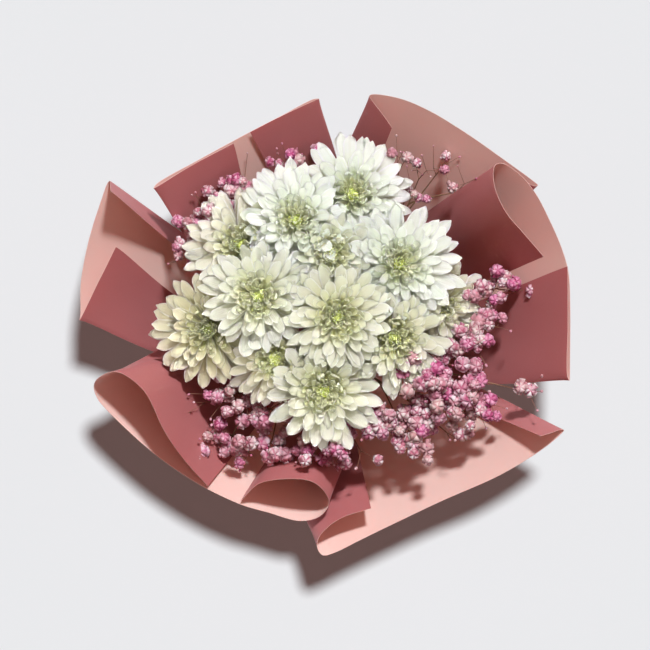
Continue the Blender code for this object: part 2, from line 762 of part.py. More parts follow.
def main():
    clear_scene()
    petals = make_material("petals", (0.62, 0.67, 0.58), 0.55)
    heart = make_material("disc_florets", (0.30, 0.36, 0.06), 0.6)
    stem = make_material("stem", (0.16, 0.28, 0.08), 0.5)
    leaf = make_material("leaf", (0.10, 0.19, 0.06), 0.55)
    florets = make_material("gypsophila", (0.50, 0.17, 0.25), 0.6)
    paper = make_material("rose_paper", (0.40, 0.15, 0.15), 0.7)
    jute = make_material("jute_twine", (0.45, 0.33, 0.18), 0.9)
    satin = make_material("rose_ribbon", (0.42, 0.15, 0.17), 0.35)

    frames = head_frames()
    aims = [foot_under(*frame["centre"]) for frame in frames]
    aims += [foot_under(*tips[0]) for name, tips in SPRIGS]
    radii = [STEM_RADIUS] * len(frames) + [SPRIG_RADIUS] * len(SPRIGS)
    feet = pack_feet(aims, radii)
    bundle_radius = max(np.linalg.norm(foot) + radius for foot, radius in zip(feet, radii))

    stems = []
    for index, frame in enumerate(frames):
        add_head(frames, index, petals)
        add_heart(frames, index, heart)
        stems.append(add_stem(frame, index, feet[index], stem))
    for number, (head, height, way) in enumerate(LEAVES, 1):
        add_leaf(number, stems[head - 1], height, way, leaf)
    for (name, tips), foot in zip(SPRIGS, feet[len(frames):]):
        add_sprig(name, tips, foot, florets)
    for name, sheet in SHEETS.items():
        add_sheet(name, sheet, paper)
    add_twine(bundle_radius, jute)
    add_bow(add_ribbon_band(satin), satin)


main()
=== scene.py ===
import json
import math

import bmesh
import bpy
import numpy as np
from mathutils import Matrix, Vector, noise

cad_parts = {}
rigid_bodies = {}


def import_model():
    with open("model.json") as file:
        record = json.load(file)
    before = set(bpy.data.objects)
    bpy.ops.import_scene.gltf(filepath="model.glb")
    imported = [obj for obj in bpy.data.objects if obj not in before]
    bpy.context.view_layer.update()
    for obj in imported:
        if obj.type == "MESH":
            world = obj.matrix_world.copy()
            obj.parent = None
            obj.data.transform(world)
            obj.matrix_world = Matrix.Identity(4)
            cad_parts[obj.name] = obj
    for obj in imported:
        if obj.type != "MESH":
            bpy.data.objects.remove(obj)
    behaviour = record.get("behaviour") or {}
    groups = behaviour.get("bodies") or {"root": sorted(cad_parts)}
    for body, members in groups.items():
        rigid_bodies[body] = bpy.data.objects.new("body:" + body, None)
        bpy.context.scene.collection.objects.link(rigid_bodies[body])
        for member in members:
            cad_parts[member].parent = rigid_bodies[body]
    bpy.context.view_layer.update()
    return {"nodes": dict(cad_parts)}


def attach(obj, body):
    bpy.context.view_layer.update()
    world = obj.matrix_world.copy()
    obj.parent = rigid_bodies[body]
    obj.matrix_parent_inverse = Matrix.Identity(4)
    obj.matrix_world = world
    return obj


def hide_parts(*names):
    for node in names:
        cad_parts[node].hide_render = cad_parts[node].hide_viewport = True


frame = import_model()
mm = 0.001
goldenTurn = math.pi * (3 - math.sqrt(5))
upward = np.array((0.0, 0.0, 1.0))
print("frame loaded:", len(frame["nodes"]), "nodes")


# small maths

def mix(a, b, share):
    return a + (b - a) * share


def smooth(value):
    t = np.clip(value, 0.0, 1.0)
    return t * t * (3 - 2 * t)


def unit(vector):
    return vector / max(np.linalg.norm(vector), 1e-9)


def polar(radius, turn, height=0.0):
    return np.array((radius * math.cos(turn), radius * math.sin(turn), height))


def hermite(start, startSlope, end, endSlope, steps):
    t = np.linspace(0, 1, steps + 1)[:, None]
    return ((2 * t ** 3 - 3 * t ** 2 + 1) * start + (t ** 3 - 2 * t ** 2 + t) * startSlope
            + (3 * t ** 2 - 2 * t ** 3) * end + (t ** 3 - t ** 2) * endSlope)


def splineThrough(points, spacing, least=2):
    # a smooth line through the points; what stands after a point's third number is carried along
    points = np.array(points, float)
    lengths = np.maximum(np.linalg.norm(np.diff(points[:, :3], axis=0), axis=1), 1e-6)
    gaps = lengths[:, None] ** 0.5
    chords = np.diff(points, axis=0) / gaps
    inner = (chords[:-1] * gaps[1:] + chords[1:] * gaps[:-1]) / (gaps[:-1] + gaps[1:])
    slopes = np.vstack((chords[:1], inner, chords[-1:]))
    line = [points[:1]]
    for i, length in enumerate(lengths):
        steps = max(least, round(length / spacing))
        part = hermite(points[i], slopes[i] * gaps[i], points[i + 1], slopes[i + 1] * gaps[i], steps)
        line.append(part[1:])
    return np.vstack(line)


def lineLength(points):
    return float(np.linalg.norm(np.diff(np.array(points), axis=0), axis=1).sum())


def meshPoints(mesh):
    places = np.empty(len(mesh.vertices) * 3)
    mesh.vertices.foreach_get("co", places)
    return places.reshape(-1, 3)


def cadPoints(node):
    return np.unique(np.round(meshPoints(frame["nodes"][node].data) / mm, 3), axis=0)


# finishes: a socket that takes Python's own signs, and a material that makes its nodes

class Wire:
    def __init__(self, finish, socket):
        self.finish = finish
        self.socket = socket

    def maths(self, operation, *others, clamp=False):
        values = dict(enumerate((self, *others)))
        return self.finish.node("Math", dict(operation=operation, use_clamp=clamp), values)

    def __add__(self, other):
        return self.maths("ADD", other)

    def __mul__(self, other):
        return self.maths("MULTIPLY", other)

    def __sub__(self, other):
        return self.maths("SUBTRACT", other)

    def __rsub__(self, other):
        return self.finish.node("Math", dict(operation="SUBTRACT"), {0: other, 1: self})

    def __pow__(self, other):
        return self.maths("POWER", other)

    __radd__ = __add__
    __rmul__ = __mul__

    def clamped(self):
        return self.maths("ADD", 0.0, clamp=True)

    def split(self, kind):
        node = self.finish.node("Separate" + kind, sockets={0: self}).socket.node
        return [Wire(self.finish, node.outputs[i]) for i in range(3)]


class Finish:
    def __init__(self, name, **constants):
        self.material = bpy.data.materials.new(name)
        self.material.use_nodes = True
        self.tree = self.material.node_tree
        self.shader = self.tree.nodes["Principled BSDF"]
        for socket, value in constants.items():
            self.shader.inputs[socket.replace("_", " ")].default_value = value

    def node(self, kind, settings=None, sockets=None, out=0):
        node = self.tree.nodes.new("ShaderNode" + kind)
        for name, value in (settings or {}).items():
            setattr(node, name, value)
        for key, value in (sockets or {}).items():
            if isinstance(value, Wire):
                self.tree.links.new(value.socket, node.inputs[key])
            else:
                node.inputs[key].default_value = value
        return Wire(self, node.outputs[out])

    def blend(self, a, b, share):
        a, b = ((*shade, 1.0) if isinstance(shade, tuple) else shade for shade in (a, b))
        return self.node("Mix", dict(data_type="RGBA"), {0: share, 6: a, 7: b}, out=2)

    def place(self):
        return self.node("TexCoord", out=3)

    def speckle(self, scale, detail=2.0, stretch=(1, 1, 1)):
        where = self.node("Mapping", sockets={"Vector": self.place(), "Scale": stretch})
        return self.node("TexNoise", sockets={"Vector": where, "Scale": scale, "Detail": detail})

    def pattern(self, layer):
        # side and along, from 0 to 1 over a piece's own pattern
        return self.node("UVMap", dict(uv_map=layer)).split("XYZ")[:2]

    def tones(self):
        # the four shares that each small shape carries
        tone = self.node("Attribute", dict(attribute_name="tone"))
        return (*tone.split("Color"), Wire(self, tone.socket.node.outputs["Alpha"]))

    def feed(self, socket, wire):
        self.tree.links.new(wire.socket, self.shader.inputs[socket])

    def colour(self, *blend):
        self.feed("Base Color", self.blend(*blend))

    def bump(self, height, strength, distance):
        settings = {"Height": height, "Strength": strength, "Distance": distance * mm}
        self.feed("Normal", self.node("Bump", sockets=settings))


# making pieces

def meshOf(bm, name="shape"):
    mesh = bpy.data.meshes.new(name)
    bm.to_mesh(mesh)
    bm.free()
    return mesh


def linked(name, data):
    item = bpy.data.objects.new(name, data)
    bpy.context.scene.collection.objects.link(item)
    return item


def made(helper):
    # the mesh that a helper's bevel or modifier makes of it, and the helper goes
    bpy.context.view_layer.update()
    mesh = bpy.data.meshes.new_from_object(helper.evaluated_get(bpy.context.evaluated_depsgraph_get()))
    bpy.data.objects.remove(helper)
    return mesh


def finished(name, shape, looks, slotName, stands=(), sharpAngle=None):
    # turns a bmesh or a mesh in millimetres into a piece that rides on the bunch
    mesh = meshOf(shape) if isinstance(shape, bmesh.types.BMesh) else shape
    mesh.name = name
    mesh.vertices.foreach_set("co", meshPoints(mesh).ravel() * mm)
    for number, look in enumerate(looks):
        if number < len(mesh.materials):
            mesh.materials[number] = look.material
        else:
            mesh.materials.append(look.material)
    mesh.shade_smooth()
    if sharpAngle is not None:
        mesh.set_sharp_from_angle(angle=math.radians(sharpAngle))
    piece = linked(name, mesh)
    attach(piece, "root")
    if stands:
        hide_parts(*stands)
    return piece


def paint(bm, layer, pattern):
    # gives every corner its place in the piece's own pattern, from where its point is
    uvs = bm.loops.layers.uv.new(layer)
    for face in bm.faces:
        for loop in face.loops:
            loop[uvs].uv = pattern(*loop.vert.co)


def surface(columns, rows, place=None, layer=None, pattern=None):
    # a grid that place lays out from two shares, with a pattern of its own if a layer is named
    bm = bmesh.new()
    bmesh.ops.create_grid(bm, x_segments=columns, y_segments=rows, size=0.5)
    if layer:
        paint(bm, layer, lambda x, y, z: pattern(x + 0.5, y + 0.5))
    if place:
        for vert in bm.verts:
            vert.co = place(vert.co.x + 0.5, vert.co.y + 0.5)
    return bm


def surfaceArea(bm):
    return sum(face.calc_area() for face in bm.faces) * mm * mm


def tubes(lines, ribs=0, ribDepth=0.0):
    # closed tubes along lines of (points, radii), round or ribbed, as one mesh
    curve = bpy.data.curves.new("tubes", "CURVE")
    curve.dimensions = "3D"
    curve.use_fill_caps = True
    if ribs:
        curve.bevel_mode = "OBJECT"
        curve.bevel_object = ribbedProfile(ribs, ribDepth)
    else:
        curve.bevel_depth = 1.0
        curve.bevel_resolution = 1  # six sides
    for points, radii in lines:
        spline = curve.splines.new("POLY")
        spline.points.add(len(points) - 1)
        spline.points.foreach_set("co", np.hstack((points, np.ones((len(points), 1)))).ravel())
        spline.points.foreach_set("radius", np.broadcast_to(radii, len(points)).astype(float))
    mesh = made(linked("tubes", curve))
    if ribs:
        bpy.data.objects.remove(curve.bevel_object)
    bm = bmesh.new()
    bm.from_mesh(mesh)
    bpy.data.meshes.remove(mesh)
    bmesh.ops.remove_doubles(bm, verts=bm.verts, dist=1e-4)
    bmesh.ops.recalc_face_normals(bm, faces=bm.faces)
    return bm


def ribbedProfile(ribs, depth):
    curve = bpy.data.curves.new("profile", "CURVE")
    curve.dimensions = "2D"
    spline = curve.splines.new("POLY")
    spline.points.add(2 * ribs - 1)
    for i, point in enumerate(spline.points):
        point.co = (*polar(1.0 - depth * (i % 2), math.pi * i / ribs), 1.0)
    spline.use_cyclic_u = True
    return linked("profile", curve)


def thickened(bm, thickness, twoTone=False):
    # the closed thin sheet that Solidify makes of a surface, its under side in a second finish if two-tone
    mesh = meshOf(bm)
    for i in range(1 + twoTone):
        mesh.materials.append(None)
    helper = linked("surface", mesh)
    solid = helper.modifiers.new("Thickness", "SOLIDIFY")
    solid.thickness = thickness
    solid.offset = 0.0
    solid.material_offset = solid.material_offset_rim = int(twoTone)
    sheet = made(helper)
    bpy.data.meshes.remove(mesh)
    return sheet


# wrapping paper

wrap = dict(
    thickness=0.24,
    bottom=101.0,
    top=129.0,
    radius=20.2,
    rise=1.6,
    power=0.94,
    levelRadius=170.0,
    levelling=0.6,
    skirtBottom=54.0,
    skirtFlare=0.6,
    skirtOpening=0.6,
    layerAtTie=3.0,
    layerInBowl=10.0,
    layerRamp=50.0,
    flapAtTie=1.4,
    turnPower=1.3,
    pleats=22,
    pleatAtTie=0.5,
    pleatInSkirt=2.4,
    pleatInBowl=1.3,
    ripple=0.5,
    rippleLength=38.0,
    rippleShift=90.0,  # keeps the inner layer's ripples unlike the outer's
    rimStep=3.2,
    bowlRows=40,
    skirtRows=8,
    tieZone=(0.85, 0.15),  # where it starts, as a share of the way down, and its length
    gatherZone=(0.45, 0.4),
    roughness=0.60,
)

# Each sheet: inner or outer layer, tie angles of its two folds, how far each flap is tucked back there,
# how fast each flap settles towards the tie, and its rim as (x, y, lift) between the free corners.
sheets = {
    "paper_top_left": dict(
        inner=True, folds=(178, 62), tucks=(36, 36), settle=(1, 1),
        startFlap=((-65.8, 130.6, 6), (-94.4, 115.4, 4.5), (-120.4, 99.4, 2.4)),
        panel=((-123, 98.2, 0.9), (-121, 101.2, 0), (-93, 117.6, 0), (-64, 133.4, 0),
               (-35, 148.6, 0), (-8, 162.4, 0), (-4.4, 162.6, 0.9)),
        endFlap=((-5.4, 162.2, 2), (-29.4, 151.2, 3.6), (-53.8, 138.6, 5)),
    ),
    "paper_top_right": dict(
        inner=False, folds=(102, 2), tucks=(24, 30), settle=(1.5, 1.5),
        startFlap=((48.2, 141.8, 7), (41.8, 151, 5.5), (34.8, 160.2, 2.6)),
        panel=((32, 165, 1), (34.8, 166, 0), (54, 162.7, 0), (74, 154.6, 0),
               (98, 140.4, 0), (126, 121, 0), (150, 103.2, 0), (153, 100.4, 0.9)),
        endFlap=((149.6, 100, 2.2), (138, 108, 2.8), (127, 115.6, 2.8)),
    ),
    "paper_right": dict(
        inner=True, folds=(60, -44), tucks=(54, 42), settle=(1.6, 1),
        startFlap=((157, 49, 12), (141.8, 66.2, 22), (129.6, 80.6, 27), (122.6, 96, 22),
                   (120.8, 109, 11)),
        panel=((122.8, 115.4, 4), (128.4, 116, 0), (141, 107.2, 0), (151.6, 93.8, 0),
               (161.4, 75, 0), (169.6, 56, 0), (174.8, 38, 0), (176.2, 12, 0),
               (176.2, -13, 0), (176, -36.6, 0), (175.8, -39.8, 0.9)),
        endFlap=((174.2, -37, 2.4), (174.4, 0, 4.5), (174, 42, 6)),
    ),
    "paper_bottom_right": dict(
        inner=False, folds=(342, 224), tucks=(16, 62), settle=(2.5, 3),
        startFlap=((154.5, -79.7, 18), (163, -77.3, 11), (169.4, -75.2, 3.6)),
        panel=((171.8, -75.6, 1.2), (170, -78, 0), (158, -88, 0), (126, -108, 0),
               (90, -124, 0), (54, -141, 0), (25, -155, 0), (7, -164, 0),
               (-1.5, -166, 0.8), (-5.4, -161, 3)),
        endFlap=((-4.7, -153.4, 8), (3.6, -144, 13), (14.4, -137.5, 16), (33.1, -131.8, 17)),
    ),
    "paper_bottom_left": dict(
        inner=True, folds=(312, 168), tucks=(56, 72), settle=(1.5, 1.5),
        startFlap=((-60.5, -126.6, 3.4), (-47.5, -113.8, 22), (-29.5, -110.2, 33), (-10.8, -111.6, 33),
                   (0, -120.2, 20)),
        panel=((2.6, -129.4, 7), (-4, -137.8, 1.2), (-17.3, -141.1, 0), (-41.8, -134.6, 0),
               (-60.5, -129.2, 0), (-84.2, -118.2, 0), (-108, -103.6, 0), (-130, -86.6, 0),
               (-154, -64, 0), (-163.6, -52.6, 1.6), (-166, -44, 6)),
        endFlap=((-161, -36.8, 19), (-147.6, -33.8, 34), (-129.6, -46.8, 41), (-115.2, -75.6, 33),
                 (-100.8, -97.2, 17), (-84.2, -115.8, 4)),
    ),
    "paper_left": dict(
        inner=False, folds=(222, 150), tucks=(27, 12), settle=(1.5, 2),
        startFlap=((-150.5, 56.2, 7), (-163, 30.6, 5), (-173.6, 8.6, 2.6)),
        panel=((-176.4, 3.6, 1), (-175.8, 6.8, 0), (-175.6, 28, 0), (-172.4, 50, 0),
               (-167, 71, 0), (-160.4, 91, 0), (-156.6, 101.4, 0), (-154.8, 103.6, 1.4)),
        endFlap=((-154, 101.4, 9), (-153.6, 98.4, 20), (-153.2, 95.6, 31)),
    ),
}


def bowlHeight(radius):
    return wrap["top"] + wrap["rise"] * max(radius - wrap["radius"], 0.0) ** wrap["power"]


def bowlSlope(radius):
    return wrap["rise"] * wrap["power"] * max(radius - wrap["radius"], 1.0) ** (wrap["power"] - 1)


def layerOffset(inner, radius):
    share = smooth((radius - wrap["radius"]) / wrap["layerRamp"])
    return mix(wrap["layerAtTie"], wrap["layerInBowl"], share) if inner else 0.0


def rimPoints(sheet):
    # each rim point as (x, y, lift, angle at the tie, lift at the tie, settle)
    first, last = sheet["folds"]
    parts = (sheet["startFlap"], sheet["panel"], sheet["endFlap"])
    rim = []
    for part, points in enumerate(parts):
        for i, point in enumerate(points):
            tieLift = wrap["flapAtTie"]
            if part == 0:
                tieTurn = first - sheet["tucks"][0] * (len(points) - i) / len(points)
            elif part == 1:
                tieTurn = mix(first, last, i / (len(points) - 1))
                tieLift *= 0.5 if i in (0, len(points) - 1) else 0.0
            else:
                tieTurn = last + sheet["tucks"][1] * (i + 1) / len(points)
            late = part == 2 or part == 1 and i >= len(points) / 2
            rim.append((*point, tieTurn, tieLift, sheet["settle"][late]))
    return rim


def rimColumn(sheet, point):
    x, y, lift, tieTurn, tieLift, settle = point
    radius = math.hypot(x, y)
    offset = lift + layerOffset(sheet["inner"], radius)
    slope = bowlSlope(radius)
    base = radius + offset * slope / math.hypot(1, slope)
    turn = math.degrees(math.atan2(y, x))
    turn += 360 * round((tieTurn - turn) / 360)
    return turn, base, lift, tieTurn, tieLift, settle


def zoneShare(value, start, length):
    return smooth((value - start) / length)


def paperPoint(sheet, column, row):
    # rows 0 to 1 run down the bowl, 1 to 2 along the tie and 2 to 3 down the skirt
    turn, base, lift, tieTurn, tieLift, settle = column
    pleat = 0.5 - 0.5 * math.cos(math.radians(tieTurn) * wrap["pleats"])
    if row < 1:
        radius = wrap["radius"] + (base - wrap["radius"]) * (1 - row)
        turn = math.radians(mix(turn, tieTurn, row ** wrap["turnPower"]))
        offset = lift * (1 - row) ** settle + tieLift * row + layerOffset(sheet["inner"], radius)
        nearTie = zoneShare(row, *wrap["tieZone"])
        gathered = zoneShare(row, *wrap["gatherZone"]) * (1 - nearTie)
        offset += pleat * mix(wrap["pleatInBowl"] * gathered, wrap["pleatAtTie"], nearTie)
        spot = Vector(polar(radius, turn, wrap["rippleShift"] * sheet["inner"]))
        offset += wrap["ripple"] * noise.noise(spot / wrap["rippleLength"]) * smooth((1 - row) * 4)
        slope = bowlSlope(radius)
        length = math.hypot(1, slope)
        level = (wrap["levelRadius"] - base) * wrap["levelling"] * (1 - row)
        height = bowlHeight(radius) + level + offset / length
        radius -= offset * slope / length
    else:
        turn = math.radians(tieTurn)
        skirt = max(row - 2, 0.0)
        offset = (tieLift + layerOffset(sheet["inner"], wrap["radius"])) * (1 + wrap["skirtOpening"] * skirt)
        offset += pleat * mix(wrap["pleatAtTie"], wrap["pleatInSkirt"], smooth(skirt))
        height = mix(wrap["top"], wrap["bottom"], min(row - 1, 1.0))
        height += (wrap["skirtBottom"] - wrap["bottom"]) * skirt
        radius = wrap["radius"] + (wrap["bottom"] - wrap["skirtBottom"]) * skirt * wrap["skirtFlare"] - offset
    return Vector(polar(radius, turn, height))


def paperLook(name, shade, deepShade):
    look = Finish(name, Roughness=wrap["roughness"], Sheen_Weight=0.08, Sheen_Roughness=0.4,
                  Subsurface_Weight=0.25, Subsurface_Scale=0.0012, Subsurface_Radius=(1.0, 0.4, 0.35))
    cloud = look.speckle(18.0, 3.0)
    grain = look.speckle(900.0, 4.0)
    look.colour(shade, deepShade, (cloud * 0.6 + grain * 0.35 - 0.15).clamped())
    look.feed("Roughness", wrap["roughness"] + 0.12 * (grain - 0.5))
    look.bump(grain * 0.6 + look.speckle(260.0) * 0.4, 0.12, 0.12)
    return look


def addPaper():
    rose = paperLook("rose_paper", (0.450, 0.158, 0.166), (0.40, 0.128, 0.134))
    blush = paperLook("blush_paper", (0.80, 0.565, 0.525), (0.75, 0.500, 0.460))
    bowl = np.linspace(0, 1, wrap["bowlRows"] + 1)
    rows = (*bowl, 1.25, 1.5, 1.75, *np.linspace(2, 3, wrap["skirtRows"] + 1))
    for name, sheet in sheets.items():
        columns = [rimColumn(sheet, point) for point in splineThrough(rimPoints(sheet), wrap["rimStep"], 3)]
        points = [[paperPoint(sheet, column, row) for row in rows] for column in columns]
        last = len(columns) - 1, len(rows) - 1
        bm = surface(*last, lambda over, down: points[round(over * last[0])][round(down * last[1])])
        area = surfaceArea(bm)
        rim = lineLength([column[0] for column in points])
        drop = max(lineLength(column) for column in points[::6])
        shape = thickened(bm, wrap["thickness"], True)
        piece = finished(name + "_sheet", shape, (rose, blush), "wrapping_paper", [name], 50)
    print("paper:", len(sheets), "sheets")


# chrysanthemum heads

# Each head: how far its longest petals reach, how creamy and green they are, how closed it is, and how much
# it is darkened: partly an older head's faded colour, partly painted shade for a head lying lower in shadow.
headTraits = ("reach", "cream", "green", "closed", "fadeAndShade")
blooms = (
    (43, 0.02, 0.45, 0.15, 0.05),
    (43.5, 0.00, 0.60, 0.10, 0.00),
    (41, 0.75, 0.80, 0.45, 0.30),
    (36, 0.35, 0.95, 0.05, 0.32),
    (45.5, 0.00, 0.45, 0.10, 0.10),
    (43, 0.35, 0.95, 0.00, 0.28),
    (42, 0.55, 1.05, 0.20, 0.48),
    (42, 1.40, 0.55, 0.50, 0.75),
    (41, 0.65, 0.90, 0.10, 0.44),
    (35, 1.10, 0.95, 0.00, 0.34),
    (43, 0.55, 0.90, 0.00, 0.40),
    (35, 1.00, 0.25, 1.00, 0.28),
)

bloom = dict(
    quills=40,
    quillRoot=(0.6, 6.0),
    quillReach=(1.4, 12.0),
    quillTop=(17.4, 21.6),
    quillWidth=(1.8, 4.4),
    quillBend=(0.35, 0.75),
    quillFoot=8.0,
    quillClosing=(0.5, 1.6),  # how far a closed head draws them in and up
    quillGreen=(2.2, 1.1),
    rayGreen=(1.4, 0.25),
    petals=92,
    fullReach=43.0,  # of the head that the other sizes belong to
    longest=1.10,
    strays=6,
    ages=(0.0, 0.26, 0.54, 0.60, 1.0),
    reaches=(0.24, 0.43, 0.68, 0.84, 1.0),
    crown=23.0,
    crownFall=0.0105,
    baseRadius=(4.4, 7.4),
    baseHeight=(8.0, -5.5),
    bendOut=(0.95, 0.42),
    arch=(-1.0, 4.5),
    width=(4.2, 9.4),
    claw=(0.6, 0.42),
    cup=(0.50, 0.13),
    thickness=0.30,
    facing=0.5,
    calyxDrop=11.4,
    calyxRing=6,
    crowding=0.32,
    lift=0.40,
    disc=30,
    discRadius=5.8,
    discTop=15.2,
    discDome=2.6,
    floretRadius=0.62,
    floretLength=4.6,
    floretGather=0.86,
    domeFoot=4.0,
    domeDrop=7.4,
    bracts=26,
    bractWidth=3.4,
    bractFoot=(4.6, -11.0),
    bractBend=(8.0, -11.6),
    bractTips=((12.5, -8.2), (10.5, -8.2)),  # of the inner row and the outer
    bractDrop=0.4,
)


def petalTemplate(along, across):
    # one closed petal: x across and y along from -0.5 to 0.5, its under skin's inner points at z = -1
    bm = surface(across, along, layer="petal", pattern=lambda x, y: (x, y))
    under = bmesh.ops.duplicate(bm, geom=bm.faces[:])["geom"]
    bmesh.ops.reverse_faces(bm, faces=[item for item in under if isinstance(item, bmesh.types.BMFace)])
    for item in under:
        if isinstance(item, bmesh.types.BMVert) and max(abs(item.co.x), abs(item.co.y)) < 0.499:
            item.co.z = -1.0
    bmesh.ops.remove_doubles(bm, verts=bm.verts, dist=1e-4)
    return meshOf(bm)


def addShapes(name, template, shapes, look, *slotAndStands):
    # one piece of many copies of a template, each with its own places and its tone as an attribute
    places, tones = zip(*shapes)
    bm = bmesh.new()
    for i in range(len(places)):
        bm.from_mesh(template)
    mesh = meshOf(bm)
    mesh.vertices.foreach_set("co", np.vstack(places).ravel())
    count = len(template.vertices)
    shades = np.vstack([np.broadcast_to(np.array(tone, float), (count, 4)) for tone in tones])
    mesh.attributes.new("tone", "FLOAT_COLOR", "POINT").data.foreach_set("color", shades.ravel())
    finished(name, mesh, (look,), *slotAndStands)


def headFrame(number):
    # where a head sits and the way it faces, from the heart and the calyx of the frame
    name = f"bloom_{number:02d}"
    heart = cadPoints(name + "_heart").mean(axis=0)
    stem = cadPoints(name + "_stem")
    order = np.argsort(np.linalg.norm(stem - heart, axis=1))
    calyx = stem[order[:bloom["calyxRing"]]].mean(axis=0)
    axis = unit(mix(unit(heart - calyx), upward, bloom["facing"]))
    across = unit(np.cross(axis, (0.0, 1.0, 0.0)))
    traits = dict(zip(headTraits, blooms[number - 1]))
    return dict(traits, name=name, scale=traits["reach"] / bloom["fullReach"], calyx=calyx, axis=axis,
                centre=calyx + axis * bloom["calyxDrop"], across=across, forward=np.cross(axis, across))


def headWay(head, turn):
    return head["across"] * math.cos(turn) + head["forward"] * math.sin(turn)


def crowded(heads, head, out, height):
    # how far past its own ground a petal's tip reaches, in millimetres
    tip = out + head["axis"] * height
    past = 0.0
    for other in heads:
        if other is head:
            continue
        between = other["centre"] - head["centre"]
        distance = np.linalg.norm(between)
        ground = (distance ** 2 + head["reach"] ** 2 - other["reach"] ** 2) / (2 * distance)
        past = max(past, tip @ between / distance - ground)
    return past


def shapePetal(points, head, turn, path, petal):
    # lays a template's points along a bent path of (radius, height) points from base to tip
    side = 2 * points[:, 0]
    along = 1 - (0.5 - points[:, 1]) ** 1.7
    near = smooth((along - 0.72) / 0.28)
    edge = np.clip((along - petal["shoulder"]) / (1 - petal["shoulder"]), 0, 1)
    along = along - near * (petal["blunt"] * side ** 2 + petal["notch"] * (1 - np.abs(side)) ** 2)
    base, bend, tip = (np.array(point) for point in path)
    t = along[:, None]
    line = (1 - t) ** 2 * base + 2 * t * (1 - t) * bend + t ** 2 * tip
    slope = 2 * (1 - t) * (bend - base) + 2 * t * (tip - bend)
    slope /= np.linalg.norm(slope, axis=1)[:, None]
    opening = mix(petal["claw"], 1.0, smooth(along / 0.62))
    half = 0.5 * petal["width"] * opening * (1 - petal["point"] * edge ** 1.9) ** 0.5
    profile = side ** 2 + 0.10 * np.cos(2 * math.pi * side)
    raised = petal["cup"] * half * profile * (1.15 - 0.5 * along) + petal["thickness"] * points[:, 2]
    raised += petal["wave"] * np.sin(along * 5.0 + petal["phase"]) * side
    raised += petal["curl"] * near ** 2
    lateral = side * half
    twist = petal["twist"] * along
    lateral, raised = (lateral * np.cos(twist) - raised * np.sin(twist),
                       lateral * np.sin(twist) + raised * np.cos(twist))
    lateral = lateral + petal["sway"] * along ** 2
    radius = line[:, 0] - slope[:, 1] * raised
    height = line[:, 1] + slope[:, 0] * raised
    out = headWay(head, turn)
    aside = head["across"] * math.sin(turn) - head["forward"] * math.cos(turn)
    return (head["centre"] + radius[:, None] * out + lateral[:, None] * aside
            + height[:, None] * head["axis"])


def petalVariety(rng, width, **settings):
    # the small differences between one petal and the next
    petal = dict(
        width=width * (1 + rng.normal(0, 0.08)),
        claw=0.4,
        cup=0.2 * (1 + rng.normal(0, 0.3)),
        shoulder=rng.uniform(0.70, 0.90),
        point=rng.uniform(0.88, 0.98),
        blunt=0.035,
        notch=max(rng.normal(0.004, 0.012), 0.0),
        thickness=bloom["thickness"],
        wave=rng.normal(0, 0.30),
        phase=rng.uniform(0, 6.3),
        twist=rng.normal(0, 0.16),
        sway=rng.normal(0, 1.6),
        curl=rng.normal(0.9, 1.2),
    )
    petal.update(settings)
    return petal


def quill(rng, head, number):
    # a short upright petal of the heart, greener and narrower towards the middle
    share = math.sqrt((number + 0.5) / bloom["quills"])
    root = mix(*bloom["quillRoot"], share)
    drawnIn, drawnUp = bloom["quillClosing"]
    reach = mix(*bloom["quillReach"], share) * (1 - drawnIn * head["closed"]) + rng.normal(0, 0.7)
    top = mix(*bloom["quillTop"], share) + drawnUp * head["closed"] + rng.normal(0, 0.9)
    outness, upness = bloom["quillBend"]
    bend = (mix(root, reach, outness) + 0.8, mix(bloom["quillFoot"] + 1.0, top, upness))
    width = mix(*bloom["quillWidth"], share) * head["scale"]
    petal = petalVariety(rng, width, claw=0.6, cup=0.6, twist=rng.normal(0, 0.35), wave=0.1,
                         sway=rng.normal(0, 0.6), curl=0.2, blunt=0.05)
    turn = number * goldenTurn + rng.normal(0, 0.35)
    path = ((root, bloom["quillFoot"]), bend, (max(reach, 0.4), top))
    return turn, [np.array(point) * head["scale"] for point in path], petal, share


def ray(rng, heads, head, number):
    # one of the long petals, from the upright ones around the disc to the spreading outer ones
    age = (number + 0.5) / bloom["petals"]
    turn = number * goldenTurn + rng.normal(0, 0.09)
    longest = head["reach"] * bloom["longest"]
    reach = longest * np.interp(age, bloom["ages"], bloom["reaches"]) * (1 + rng.normal(0, 0.05))
    height = bloom["crown"] - bloom["crownFall"] * (reach / head["scale"]) ** 2 + rng.normal(0, 1.5)
    out = headWay(head, turn)
    past = crowded(heads, head, out * reach, height)
    if past > 0:
        height += bloom["lift"] * past * rng.uniform(0.3, 1.5)
        reach -= bloom["crowding"] * past
    base = (mix(*bloom["baseRadius"], age), mix(*bloom["baseHeight"], age))
    outness = mix(*bloom["bendOut"], smooth(age * 2.2))
    arch = mix(*bloom["arch"], smooth(age * 1.6))
    bend = (mix(base[0], reach, outness) + mix(3.0, 0.0, smooth(age * 3)), mix(base[1], height, 0.62) + arch)
    width = mix(*bloom["width"], smooth(age * 1.5)) * head["scale"]
    petal = petalVariety(rng, width, claw=mix(*bloom["claw"], age),
                         cup=mix(*bloom["cup"], smooth(age * 1.5)) * (1 + rng.normal(0, 0.3)))
    return turn, (base, bend, (reach, height)), petal, age


